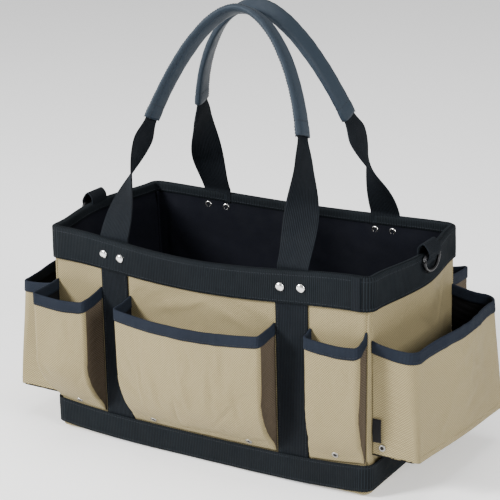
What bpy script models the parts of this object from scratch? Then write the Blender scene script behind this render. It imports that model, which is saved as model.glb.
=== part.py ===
"""Garden tool bag: an open-topped canvas tote with eight outside pockets and two handles.

Metres, +Z up, +X to the right, the front wall faces -Y. The origin is on the ground
under the middle of the bag. Sizes below are in millimetres and are scaled by MM.

Every layer of a wall is a patch of one bowed, round-cornered surface (see wall_point),
set in or out by its own offset, so the layers follow each other and never touch.
The rear of the bag is the front turned half a turn about Z.
"""
import math
from dataclasses import dataclass

import bmesh
import bpy
from mathutils import Matrix, Vector

MM = 0.001

# ---- Driving sizes, mm ---------------------------------------------------------------
BODY_LENGTH = 410.0          # outside of the end panels at their corners, along X
BODY_DEPTH = 213.0           # outside of the long panels at the rim's corners, along Y
BODY_HEIGHT = 250.0          # ground to the top of the rim
CORNER_RADIUS = 9.0          # upright corners of the canvas body
FOOT_FLARE = 6.0             # how much further out a long wall stands at the ground
LONG_WALL_BOW = 14.0         # how far the middle of a long wall stands out at the rim
END_WALL_BOW = 14.0          # the same for an end wall
LONG_RIM_SAG = 8.0           # how far the middle of a long rim hangs down
FOOT_SAG = 6.0               # the same for the bottom band and the pockets' lower edges

GAP = 0.3                    # left between pieces that touch
PANEL_THICKNESS = 1.5
STIFFENER_THICKNESS = 2.5
LINING_THICKNESS = 1.2
WEBBING_THICKNESS = 2.0
BAND_THICKNESS = 1.6
BINDING_THICKNESS = 0.8
POCKET_THICKNESS = 0.9
BASE_BOARD_THICKNESS = 3.0
BASE_LIP = 8.0               # height of the base panel's turned-up edge
BASE_EDGE = 4.0              # its rounded lower edge
BASE_EDGE_BEND = 0.3         # share of that edge where its bend has its middle

TOP_BAND_HEIGHT = 38.0
TOP_BAND_INNER = 12.0        # the part folded over to the inside
BOTTOM_BAND_TOP = 38.5
WALL_BOARD_DROP = 32.0       # rim to the top of the wall boards
WALL_BOARD_FOOT = 10.0

WEBBING_WIDTH = 38.0
STRAP_PLACE = 115.0          # middle of the bag to the middle of a strap, along X
HANDLE_APEX = 500.0          # ground to the middle of the grip
HANDLE_ROOT_RISE = 3.0       # rim to the bottom end of the handle's webbing
HANDLE_PIVOT_GAP = 1.5       # rim's outer edge to the line that the handle folds about
HANDLE_KNEE = (1.0, 38.0, 0.55)        # lower control: X past the strap, Y, share of rise
HANDLE_SHOULDER = 52.0       # arch's upper control, X
HANDLE_FOLD_START = 0.78     # share of a leg where the webbing starts to fold in half
HANDLE_FOLDED_WIDTH = 19.0   # the webbing folded in half inside the grip
GRIP_START = 0.333           # share of the arch's parameter where the grip cover begins
GRIP_WIDTH = 25.0
GRIP_HEIGHT = 9.0
GRIP_WALL = 1.6
GRIP_CLEARANCE = 1.5         # grip's side to the bag's middle plane at the apex

RIVET_SPACING = 24.0
RIVET_DROP = 19.0            # rim to the rivets
RIVET_CAP_RADIUS = 5.0
RIVET_CAP_HEIGHT = 2.6
RIVET_CAP_RIM = 0.65         # upright edge of the cap
RIVET_CAP_FOOT = 4.8         # radius of the cap's underside
RIVET_SHANK_RADIUS = 1.6
RIVET_BACK_RADIUS = 4.6
RIVET_BACK_THICKNESS = 1.4
RIVET_BACK_RIM = 0.84        # upright edge of the ring back
RIVET_BACK_CREST = 3.22      # radius where the ring back stands highest
RIVET_BACK_DISH = 0.7        # height of the dish in the ring back

EYELET_RADIUS = 4.0
EYELET_HOLE_RADIUS = 1.8
EYELET_BARREL_RADIUS = 2.5
EYELET_FLANGE = 0.6
EYELET_ROLL = 0.24           # how far the flange's edge rolls down
EYELET_RISE = 9.0            # pocket's bottom edge to the eyelet
EYELET_INSET = 30.0          # side of the wide pocket to its eyelets
EYELET_END_REACH = 12.0      # corner seam to the eyelets of the end pockets

POCKET_BOTTOM = 40.0
POCKET_RIM_DROP = 72.0       # rim to the tops of the front and rear pockets
DEEP_POCKET_RISE = 4.0       # how far the deep pocket's top rises beside the corner
SLIM_POCKET_DROP = 2.0       # how far the slim pocket's top hangs beside the corner
END_POCKET_RIM_DROP = 80.0   # rim to the tops of the end pockets
POCKET_SIDE_GAP = 1.8        # pocket's side to the strap beside it
DEEP_POCKET_CURLS = (3.0, 8.0)         # how far the tops of its gussets rise to the wall,
WIDE_POCKET_CURLS = (5.0, 5.0)         # at its start and its end
SLIM_POCKET_CURLS = (5.0, 12.0)
END_POCKET_CURLS = (8.0, 8.0)
WIDE_POCKET_SAG = 5.0        # how far the middle of its top edge hangs
NARROW_POCKET_SAG = 2.0      # the same for the deep and slim pockets
END_POCKET_CROWN = 4.0       # how far the middle of an end pocket's top edge rises
WIDE_POCKET_DEPTH = 36.0
DEEP_POCKET_DEPTHS = (50.0, 38.0)      # beside the corner, beside the strap
SLIM_POCKET_DEPTHS = (17.0, 20.0)      # beside the strap, beside the corner
END_POCKET_DEPTHS = (56.0, 66.0)       # its two sides, at the foot
END_POCKET_TOP_DEPTHS = (50.0, 57.0)   # its two sides, at the top
END_POCKET_RISES = (9.0, -1.0)         # how much higher its floor lies at its two sides
END_POCKET_SEAM = 4.0        # height of the seam between its floor and the wall
POCKET_SEAM_DEPTH = 3.2      # pocket's outer face at its bottom seam, from the wall
POCKET_FOLD = 4.5            # radius of the pocket's upright folds
POCKET_FOLD_LIMIT = 0.45     # share of the pocket's reach that a fold may take
POCKET_FILLED = 0.40         # share of its height from where a pocket stands out in full
POCKET_FILL_POWER = 0.85     # how quickly it fills below that
POCKET_CURL_EASE = 0.25      # share of a gusset's curl that is left at the fold
POCKET_GUSSET_LEAST = 0.1    # narrowest that a gusset gets
BINDING_HEIGHT = 12.5
BINDING_EASE = 0.6           # pocket's inner face to its binding

TAB_WIDTH = 29.0
TAB_THICKNESS = 1.5
TAB_SEAT = 4.0               # how far inside the wall's face the tab begins
TAB_LIFT = 11.0              # rim to the top of the tab's loop
TAB_EASE = 1.2               # ring's bar to the tab round it
RING_WIRE_RADIUS = 2.0
RING_INNER_WIDTH = 33.0
RING_INNER_HEIGHT = 15.0
RING_STRAIGHT = 0.2          # share of the ring's height before its bow begins
RING_REACH = 6.5             # wall to the ring's bar
RING_DROP = 1.5              # rim to the ring's bar

LABEL_WIDTH = 10.0
LABEL_HEIGHT = 27.0
LABEL_THICKNESS = 0.8
LABEL_REACH = 1.5            # corner seam to the label
LABEL_RISE = 24.0            # pocket's bottom edge to the label

# ---- Sizes that follow ---------------------------------------------------------------
HALF_LENGTH = BODY_LENGTH / 2
HALF_DEPTH = BODY_DEPTH / 2
BOARD_OUT = -(PANEL_THICKNESS + GAP)                       # outer faces of the layers,
LINING_OUT = BOARD_OUT - STIFFENER_THICKNESS - GAP         # from the panel's outer face
BAND_OUT = GAP + WEBBING_THICKNESS + GAP
BAND_INNER = LINING_OUT - LINING_THICKNESS - GAP
BAND_TOP = BODY_HEIGHT - BAND_THICKNESS
WALL_TOP = BAND_TOP - GAP
POCKET_TOP = BODY_HEIGHT - POCKET_RIM_DROP
END_POCKET_TOP = BODY_HEIGHT - END_POCKET_RIM_DROP
BASE_PANEL_FLOOR = WEBBING_THICKNESS + GAP
BASE_BOARD_FLOOR = BASE_PANEL_FLOOR + PANEL_THICKNESS + GAP
LINING_FLOOR = BASE_BOARD_FLOOR + BASE_BOARD_THICKNESS + GAP
SEAM_ARC = CORNER_RADIUS * math.pi / 4                     # wall's flat end to the seam
SEAM_SIDE = CORNER_RADIUS * math.sin(math.pi / 4)
STRAP_BEND = BASE_EDGE + GAP                               # inside of the strap's bend
HANDLE_APEX_SIDE = GRIP_WIDTH / 2 + GRIP_CLEARANCE         # grip's middle, along Y
POCKET_CLEAR = 0.4                                         # gusset's edge to the wall
POCKET_EDGE = POCKET_THICKNESS + BINDING_EASE + BINDING_THICKNESS
POCKET_SEAM_INSET = 1.2                                    # corner seam to a pocket

HANDLE_STATIONS = 41         # points along a handle's webbing
GRIP_STATIONS = 27           # points along a grip cover
WALL_FACET = 34.0            # widest facet of a wall, fine enough for layers to nest
WALL_STATIONS = round(BODY_LENGTH / WALL_FACET) + 1        # points across a wall
TURNED_STEPS = 12            # sides of a rivet or an eyelet
WALL_LEVELS = 5              # points up a wall
FOOT_STATIONS = 7            # points across a wall near the ground, where it is flatter

FRONT, RIGHT, REAR, LEFT = range(4)
TANGENTS = (Vector((1, 0, 0)), Vector((0, 1, 0)), Vector((-1, 0, 0)), Vector((0, -1, 0)))
NORMALS = (Vector((0, -1, 0)), Vector((1, 0, 0)), Vector((0, 1, 0)), Vector((-1, 0, 0)))
SIDE_NAMES = ("front", "right", "rear", "left")

COLOURS = {                  # base colour, roughness, metallic
    "canvas": ((0.46, 0.40, 0.30, 1), 0.85, 0.0),
    "webbing": ((0.012, 0.017, 0.026, 1), 0.80, 0.0),
    "binding": ((0.030, 0.042, 0.065, 1), 0.80, 0.0),
    "grip": ((0.030, 0.050, 0.080, 1), 0.65, 0.0),
    "lining": ((0.008, 0.010, 0.016, 1), 0.85, 0.0),
    "board": ((0.05, 0.05, 0.05, 1), 0.70, 0.0),
    "nickel": ((0.75, 0.75, 0.73, 1), 0.25, 1.0),
    "dark_metal": ((0.06, 0.06, 0.065, 1), 0.35, 1.0),
    "label": ((0.006, 0.006, 0.008, 1), 0.60, 0.0),
}


# ---- The bag's surface ---------------------------------------------------------------
def half_span(side):
    """Half the outside width of a wall, between its corners."""
    return HALF_LENGTH if side in (FRONT, REAR) else HALF_DEPTH


def half_reach(side):
    """Bag's middle to the wall's corners, square to the wall."""
    return HALF_DEPTH if side in (FRONT, REAR) else HALF_LENGTH


def flat_half(side):
    """Half the width of a wall without its round corners."""
    return half_span(side) - CORNER_RADIUS


def swell(side, along):
    """1 in the middle of a wall, easing to 0 at its corners."""
    share = min(1.0, abs(along) / flat_half(side))
    return (1 - share * share) ** 2


def bow(side, along, height):
    """How far a wall stands out of its flat plane."""
    full = LONG_WALL_BOW if side in (FRONT, REAR) else END_WALL_BOW
    return full * swell(side, along) * height / BODY_HEIGHT


def sagged(side, along, height):
    """A height with the rim's sag, which fades out towards the ground."""
    if side in (RIGHT, LEFT) or height < BASE_LIP:
        return height
    share = (height - BASE_LIP) / (BODY_HEIGHT - BASE_LIP)
    return height - LONG_RIM_SAG * swell(side, along) * share * share


def foot_sag(side, along):
    """How far the lower band and the pockets' lower edges hang under a long wall."""
    share = min(1.0, abs(along) / flat_half(side))
    return FOOT_SAG * (1 - share ** 4) if side in (FRONT, REAR) else 0.0


def flare(side, height):
    """How much further out a wall stands at this height than at the rim."""
    return FOOT_FLARE * (1 - height / BODY_HEIGHT) if side in (FRONT, REAR) else 0.0


def corner_place(side, height):
    """Across and away coordinates of a corner's centre, in a wall's own frame."""
    neighbour = (side + 1) % 4
    across = flat_half(side) + flare(neighbour, height)
    return across, half_reach(side) - CORNER_RADIUS + flare(side, height)


def wall_point(side, along, height, out=0.0):
    """Point on a wall; along is the arc length from its middle, round the corner too."""
    flat = flat_half(side)
    corner_across, corner_away = corner_place(side, height)
    radius = CORNER_RADIUS + out
    if abs(along) <= flat:
        across = along * corner_across / flat
        away = corner_away + radius + bow(side, along, height)
    else:
        turn = (abs(along) - flat) / CORNER_RADIUS
        across = math.copysign(corner_across + radius * math.sin(turn), along)
        away = corner_away + radius * math.cos(turn)
    point = TANGENTS[side] * across + NORMALS[side] * away
    point.z = sagged(side, along, height)
    return point


def wall_away(side, across, height):
    """Bag's middle to the wall's outer face, at a place across the wall."""
    corner_across, corner_away = corner_place(side, height)
    if abs(across) <= corner_across:
        along = across * flat_half(side) / corner_across
        return corner_away + CORNER_RADIUS + bow(side, along, height)
    dip = min(CORNER_RADIUS, abs(across) - corner_across)
    return corner_away + math.sqrt(CORNER_RADIUS ** 2 - dip ** 2)


def side_point(side, across, away, height):
    """Point given in a wall's own flat frame."""
    point = TANGENTS[side] * across + NORMALS[side] * away
    point.z = height
    return point


def spaced(start, end, count):
    """Evenly spaced values, both ends included."""
    return [start + (end - start) * i / (count - 1) for i in range(count)]


def ring_points(height, out, wall_steps=WALL_STATIONS, corner_steps=2, hang=False):
    """Closed outline of the bag at one height, anticlockwise seen from above."""
    points = []
    for side in (FRONT, RIGHT, REAR, LEFT):
        flat = flat_half(side)
        for along in spaced(-flat, flat, wall_steps):
            drop = foot_sag(side, along) if hang else 0.0
            points.append(wall_point(side, along, height, out) - Vector((0, 0, drop)))
        quarter = CORNER_RADIUS * math.pi / 2
        for step in range(1, corner_steps + 1):
            turned = flat + quarter * step / (corner_steps + 1)
            points.append(wall_point(side, turned, height, out))
    return points


# ---- Building blocks -----------------------------------------------------------------
def clear_scene():
    """Start with an empty scene."""
    for item in list(bpy.data.objects):
        bpy.data.objects.remove(item, do_unlink=True)


def collection(name):
    """A collection under the scene's own."""
    made = bpy.data.collections.new(name)
    bpy.context.scene.collection.children.link(made)
    return made


def material(name, finish):
    """A plain Principled material for one piece."""
    colour, roughness, metallic = COLOURS[finish]
    made = bpy.data.materials.new(name)
    made.use_nodes = True
    shader = made.node_tree.nodes["Principled BSDF"]
    shader.inputs["Base Color"].default_value = colour
    shader.inputs["Roughness"].default_value = roughness
    shader.inputs["Metallic"].default_value = metallic
    return made


def add_mesh(name, mesh, finish, smooth=True):
    """Link a piece into the bag's collection, with its own material."""
    piece = bpy.data.objects.new(name, mesh)
    PARTS.objects.link(piece)
    mesh.materials.append(material(name + "_finish", finish))
    if smooth:
        mesh.shade_smooth()
        mesh.set_sharp_from_angle(angle=math.radians(40))
    return piece


def grid_mesh(name, rows, closed=False, floor=False):
    """Open surface through rows of points, in mm; floor fills in the last row."""
    sheet = bmesh.new()
    verts = [[sheet.verts.new(point * MM) for point in row] for row in rows]
    for lower, upper in zip(verts, verts[1:]):
        for i in range(len(lower) if closed else len(lower) - 1):
            j = (i + 1) % len(lower)
            sheet.faces.new((lower[i], lower[j], upper[j], upper[i]))
    if floor:
        sheet.faces.new(verts[-1])
    mesh = bpy.data.meshes.new(name)
    sheet.to_mesh(mesh)
    sheet.free()
    return mesh


def thicken(piece, thickness, offset):
    """Give an open surface its thickness; offset 1 is outwards, -1 inwards, 0 both ways."""
    solid = piece.modifiers.new("thickness", "SOLIDIFY")
    solid.thickness = thickness * MM
    solid.offset = offset
    solid.use_even_offset = True
    solid.use_quality_normals = True
    return piece


def cut(piece, cutter):
    """Take a cutter's shape out of a piece."""
    bore = piece.modifiers.new("bores", "BOOLEAN")
    bore.operation = "DIFFERENCE"
    bore.solver = "EXACT"
    bore.object = cutter


def turned_mesh(name, profile):
    """Solid of revolution about Z; the profile runs down its outer side."""
    outline = bmesh.new()
    verts = [outline.verts.new((radius * MM, 0, height * MM)) for radius, height in profile]
    ends = list(zip(verts, verts[1:]))
    if profile[0][0] > 0:
        ends.append((verts[-1], verts[0]))
    for start, end in ends:
        outline.edges.new((start, end))
    mesh = bpy.data.meshes.new(name)
    outline.to_mesh(mesh)
    outline.free()
    return mesh


def spin(piece, steps):
    """Turn a profile about its object's Z axis."""
    screw = piece.modifiers.new("turn", "SCREW")
    screw.axis = "Z"
    screw.steps = steps
    screw.render_steps = steps
    screw.use_merge_vertices = True
    screw.merge_threshold = 0.00001
    return piece


def aim(position, direction):
    """World matrix that puts an object's Z axis along a direction."""
    turn = Vector((0, 0, 1)).rotation_difference(direction.normalized())
    return Matrix.Translation(position * MM) @ turn.to_matrix().to_4x4()


def bore_cutter(name, places, radius, length):
    """One cutter with a cylinder at each place, for a group of holes."""
    drill = bmesh.new()
    for position, direction in places:
        bmesh.ops.create_cone(drill, cap_ends=True, segments=16, radius1=radius * MM,
                              radius2=radius * MM, depth=length * MM,
                              matrix=aim(position, direction))
    mesh = bpy.data.meshes.new(name)
    drill.to_mesh(mesh)
    drill.free()
    cutter = bpy.data.objects.new(name, mesh)
    CUTTERS.objects.link(cutter)
    cutter.hide_render = True
    cutter.display_type = "WIRE"
    return cutter


def smooth_path(points, steps):
    """Points along a Catmull-Rom curve through the given ones."""
    padded = [points[0] * 2 - points[1]] + points + [points[-1] * 2 - points[-2]]
    path = []
    for a, b, c, d in zip(padded, padded[1:], padded[2:], padded[3:]):
        for step in range(steps):
            t = step / steps
            path.append(0.5 * ((2 * b) + (c - a) * t + (2 * a - 5 * b + 4 * c - d) * t * t
                               + (3 * b - a - 3 * c + d) * t ** 3))
    path.append(points[-1])
    return path


# ---- Body: panels, boards, lining and bands ------------------------------------------
def build_panel(side, cutter):
    """One wall's canvas, from seam to seam."""
    reach = flat_half(side) + SEAM_ARC - 2 * GAP
    flat = flat_half(side)
    stations = [-reach, -flat - SEAM_ARC / 2] + spaced(-flat, flat, WALL_STATIONS)
    stations += [flat + SEAM_ARC / 2, reach]
    rows = [[wall_point(side, s, z) for s in stations]
            for z in spaced(BASE_LIP + GAP, WALL_TOP, WALL_LEVELS)]
    kind = "panel" if side in (FRONT, REAR) else "end_panel"
    name = f"{SIDE_NAMES[side]}_{kind}"
    piece = thicken(add_mesh(name, grid_mesh(name, rows), "canvas"), PANEL_THICKNESS, -1)
    if side in (FRONT, REAR):
        cut(piece, cutter)


def build_wall_board(side):
    """The stiff sheet inside one wall."""
    reach = flat_half(side) - GAP
    rows = [[wall_point(side, s, z, BOARD_OUT) for s in spaced(-reach, reach, WALL_STATIONS)]
            for z in spaced(WALL_BOARD_FOOT, BODY_HEIGHT - WALL_BOARD_DROP, WALL_LEVELS)]
    name = f"{SIDE_NAMES[side]}_wall_board"
    thicken(add_mesh(name, grid_mesh(name, rows), "board"), STIFFENER_THICKNESS, -1)


def build_base():
    """The canvas base with its turned-up edge, and the board that lies in it."""
    bend = BASE_EDGE * BASE_EDGE_BEND
    profile = [(BASE_LIP, 0.0), (BASE_PANEL_FLOOR + BASE_EDGE, 0.0),
               (BASE_PANEL_FLOOR + bend, -bend),
               (BASE_PANEL_FLOOR, -BASE_EDGE)]
    rows = [list(reversed(ring_points(z, out, FOOT_STATIONS))) for z, out in profile]
    pan = grid_mesh("base_panel", rows, closed=True, floor=True)
    thicken(add_mesh("base_panel", pan, "canvas"), PANEL_THICKNESS, -1)

    inset = -(BASE_EDGE + PANEL_THICKNESS + GAP)
    outline = [list(reversed(ring_points(BASE_BOARD_FLOOR, inset, FOOT_STATIONS)))]
    sheet = grid_mesh("base_board", outline, closed=True, floor=True)
    thicken(add_mesh("base_board", sheet, "board"), BASE_BOARD_THICKNESS, -1)


def build_lining(cutter):
    """The woven inner bag: four walls and a floor in one piece."""
    rows = [list(reversed(ring_points(z, LINING_OUT)))
            for z in spaced(WALL_TOP, LINING_FLOOR, WALL_LEVELS)]
    shell = grid_mesh("lining", rows, closed=True, floor=True)
    piece = thicken(add_mesh("lining", shell, "lining"), LINING_THICKNESS, -1)
    cut(piece, cutter)


def build_bands(cutter):
    """Webbing folded over the rim, and webbing round the foot of the walls."""
    rows = [ring_points(BODY_HEIGHT - TOP_BAND_HEIGHT, BAND_OUT),
            ring_points(BAND_TOP, BAND_OUT),
            ring_points(BAND_TOP, BAND_INNER),
            ring_points(BODY_HEIGHT - TOP_BAND_INNER, BAND_INNER)]
    fold = grid_mesh("top_band", rows, closed=True)
    piece = thicken(add_mesh("top_band", fold, "webbing"), BAND_THICKNESS, 1)
    cut(piece, cutter)

    rows = [ring_points(z, BAND_OUT, FOOT_STATIONS, hang=True)
            for z in (BASE_LIP, BOTTOM_BAND_TOP)]
    strip = grid_mesh("bottom_band", rows, closed=True)
    thicken(add_mesh("bottom_band", strip, "webbing"), BAND_THICKNESS, 1)


def build_strap(name, place, cutter):
    """Webbing sewn down the front, under the base and up the rear."""
    stations = spaced(place - WEBBING_WIDTH / 2, place + WEBBING_WIDTH / 2, 4)
    front = []
    for z in spaced(WALL_TOP - GAP, STRAP_BEND + WEBBING_THICKNESS, WALL_LEVELS):
        front.append([wall_point(FRONT, x, z, GAP) for x in stations])
    centre = STRAP_BEND + WEBBING_THICKNESS
    for angle in (30, 60, 90):
        turn = math.radians(angle)
        out = GAP - STRAP_BEND * (1 - math.cos(turn))
        z = centre - STRAP_BEND * math.sin(turn)
        front.append([wall_point(FRONT, x, z, out) for x in stations])
    rear = [[Vector((point.x, -point.y, point.z)) for point in row] for row in reversed(front)]
    rows = list(reversed(front + rear))
    piece = add_mesh(name, grid_mesh(name, rows), "webbing")
    cut(thicken(piece, WEBBING_THICKNESS, 1), cutter)


# ---- Pockets -------------------------------------------------------------------------
def mix(pair, part):
    """Value between a pair's two, at a share from 0 to 1."""
    return pair[0] + (pair[1] - pair[0]) * part


@dataclass
class Pocket:
    """One outside pocket: two gussets and a face, sewn to the wall at its sides and foot.

    Pairs hold the values at its start and its end along the wall.
    """

    name: str
    side: int
    span: tuple                 # across the wall, from its middle
    depths: tuple               # wall to the face, at the foot
    top_depths: tuple           # wall to the face, at the top edge
    tops: tuple                 # height of the face's top edge
    curls: tuple                # how far a gusset's top rises to the wall
    sag: float                  # how far the middle of the top edge hangs
    flat_foot: bool = False     # whether a flat floor closes the foot
    eyelet_pair: bool = False   # whether its face takes two eyelets

    def levels(self):
        """Shares of the height for the rows of the surface, with how full it is there."""
        if self.flat_foot:
            return [(0.0, 0.0), (0.0, 1.0), (0.2, 1.0), (0.5, 1.0), (1.0, 1.0)]
        shares = (0.0, 0.13, 0.26, POCKET_FILLED, 0.62, 1.0)
        return [(share, min(1.0, share / POCKET_FILLED) ** POCKET_FILL_POWER)
                for share in shares]

    def reach(self, part, share, fullness):
        """Distance from the wall to the face."""
        full = mix((mix(self.depths, part), mix(self.top_depths, part)), share)
        return POCKET_SEAM_DEPTH + (full - POCKET_SEAM_DEPTH) * fullness

    def wall_beside(self, end, level):
        """Furthest the wall stands out under the thickness of a gusset's edge."""
        edge = self.span[end]
        inward = POCKET_EDGE if end == 0 else -POCKET_EDGE
        return max(wall_away(self.side, spot, level) for spot in (edge, edge + inward))

    def crown(self, level, part):
        """How far the face bellies out between its folds, with the wall behind it."""
        lifts = [bow(self.side, edge, level) for edge in self.span]
        return max(0.0, bow(self.side, mix(self.span, part), level) - mix(lifts, part))

    def outline(self, share, fullness, grow, clear):
        """Gusset, fold, face, fold, gusset at one level: (part, across, away) each."""
        level = mix((POCKET_BOTTOM, mix(self.tops, 0.5)), share)
        low = self.span[0] - grow
        high = self.span[1] + grow
        walls = [self.wall_beside(end, level) for end in (0, 1)]
        faces = [walls[end] + self.reach(end, share, fullness) + grow for end in (0, 1)]
        fold = min(POCKET_FOLD, (min(faces) - max(walls)) * POCKET_FOLD_LIMIT) + grow
        bend = fold * (1 - math.sin(math.pi / 4))
        inner = [wall + clear for wall in walls]
        least = [place + POCKET_GUSSET_LEAST for place in inner]
        points = [(0, low, inner[0]),
                  (0, low, max(least[0], faces[0] - fold)),
                  (0, low + bend, faces[0] - bend)]
        for part in (0.0, 0.25, 0.5, 0.75, 1.0):
            across = mix((low + fold, high - fold), part)
            points.append((part, across, mix(faces, part) + self.crown(level, part)))
        points += [(1, high - bend, faces[1] - bend),
                   (1, high, max(least[1], faces[1] - fold)),
                   (1, high, inner[1])]
        return points

    def edge_height(self, index, last, part):
        """Height of the top edge at one point of the outline."""
        curl = self.curls[0] if index < last / 2 else self.curls[1]
        height = mix(self.tops, part)
        if index in (0, last):
            return height + curl
        if index in (1, last - 1):
            return height + curl * POCKET_CURL_EASE
        return height - self.sag * 4 * part * (1 - part)

    def foot_height(self, index, last, across, fullness):
        """Height of the pocket's lower edge, or of its floor's outer edge."""
        height = POCKET_BOTTOM - foot_sag(self.side, across)
        if not self.flat_foot:
            return height
        height += mix(END_POCKET_RISES, index / last)
        return height + END_POCKET_SEAM if fullness and index in (0, last) else height

    def surface(self):
        """Rows of points of the canvas body, from the foot to the top edge."""
        rows = []
        for share, fullness in self.levels():
            row = []
            outline = self.outline(share, fullness, 0.0, POCKET_CLEAR)
            last = len(outline) - 1
            for index, (part, across, away) in enumerate(outline):
                foot = self.foot_height(index, last, across, fullness)
                height = mix((foot, self.edge_height(index, last, part)), share)
                row.append(side_point(self.side, across, away, height))
            rows.append(row)
        return rows

    def edge_row(self, grow, drop):
        """Points along the top edge, grown out or in, drop mm below it."""
        share = 1.0 - drop / (mix(self.tops, 0.5) - POCKET_BOTTOM)
        outline = self.outline(share, 1.0, grow, POCKET_CLEAR + BINDING_THICKNESS + GAP)
        last = len(outline) - 1
        return [side_point(self.side, across, away,
                           self.edge_height(index, last, part) + GAP - drop)
                for index, (part, across, away) in enumerate(outline)]

    def build(self, cutter):
        """The canvas body and the binding over its top edge."""
        body_name = f"{self.name}_pocket"
        body = add_mesh(body_name, grid_mesh(body_name, self.surface()), "canvas")
        cut(thicken(body, POCKET_THICKNESS, -1), cutter)

        inner = -(POCKET_THICKNESS + BINDING_EASE)
        rows = [self.edge_row(GAP, BINDING_HEIGHT), self.edge_row(GAP, 0.0),
                self.edge_row(inner, 0.0), self.edge_row(inner, BINDING_HEIGHT)]
        strip_name = f"{self.name}_pocket_binding"
        strip = add_mesh(strip_name, grid_mesh(strip_name, rows), "binding")
        thicken(strip, BINDING_THICKNESS, 1)

    def eyelets(self):
        """Places and directions of the pocket's drain eyelets."""
        if self.flat_foot:
            spots = []
            for end, way in ((0, -1), (1, 1)):
                away = self.wall_beside(end, POCKET_BOTTOM) + EYELET_END_REACH
                across = self.span[end] - way * POCKET_THICKNESS / 2
                height = POCKET_BOTTOM + END_POCKET_RISES[end] + EYELET_RISE
                spots.append((side_point(self.side, across, away, height),
                              TANGENTS[self.side] * way))
            return spots
        if not self.eyelet_pair:
            return [self.face_place(0.5)]
        share = EYELET_INSET / (self.span[1] - self.span[0])
        return [self.face_place(part) for part in (share, 1 - share)]

    def face_place(self, part):
        """A place near the foot of the face, and the way the cloth faces there."""
        low_row, high_row = [row[3:-3] for row in self.surface()[:2]]
        across = [point.dot(TANGENTS[self.side]) for point in low_row]
        target = mix(self.span, part)
        index = max(i for i in range(len(across) - 1) if across[i] <= target)
        share = (target - across[index]) / (across[index + 1] - across[index])
        low = low_row[index].lerp(low_row[index + 1], share)
        high = high_row[index].lerp(high_row[index + 1], share)
        direction = (low_row[index + 1] - low_row[index]).cross(high - low).normalized()
        place = low.lerp(high, EYELET_RISE / (high - low).length)
        return place - direction * POCKET_THICKNESS / 2, direction


def pocket_plan():
    """The eight pockets; the rear ones are the front ones turned half a turn."""
    seam = {side: flat_half(side) + SEAM_SIDE - POCKET_SEAM_INSET for side in range(4)}
    inner = STRAP_PLACE - WEBBING_WIDTH / 2 - POCKET_SIDE_GAP
    outer = STRAP_PLACE + WEBBING_WIDTH / 2 + POCKET_SIDE_GAP
    level = (POCKET_TOP, POCKET_TOP)
    deep_tops = (POCKET_TOP + DEEP_POCKET_RISE, POCKET_TOP)
    wide = (WIDE_POCKET_DEPTH, WIDE_POCKET_DEPTH)
    pockets = []
    for side, deep, slim in ((FRONT, "left", "right"), (REAR, "right", "left")):
        face = SIDE_NAMES[side]
        pockets += [
            Pocket(f"{face}_{deep}", side, (-seam[side], -outer), DEEP_POCKET_DEPTHS,
                   DEEP_POCKET_DEPTHS, deep_tops, DEEP_POCKET_CURLS, NARROW_POCKET_SAG),
            Pocket(f"{face}_wide", side, (-inner, inner), wide, wide, level, WIDE_POCKET_CURLS,
                   WIDE_POCKET_SAG, eyelet_pair=True),
            Pocket(f"{face}_{slim}", side, (outer, seam[side]), SLIM_POCKET_DEPTHS,
                   SLIM_POCKET_DEPTHS, (POCKET_TOP, POCKET_TOP - SLIM_POCKET_DROP),
                   SLIM_POCKET_CURLS, NARROW_POCKET_SAG),
        ]
    for side in (RIGHT, LEFT):
        pockets.append(Pocket(f"{SIDE_NAMES[side]}_end", side, (-seam[side], seam[side]),
                              END_POCKET_DEPTHS, END_POCKET_TOP_DEPTHS,
                              (END_POCKET_TOP, END_POCKET_TOP), END_POCKET_CURLS,
                              -END_POCKET_CROWN, flat_foot=True))
    return pockets


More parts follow.
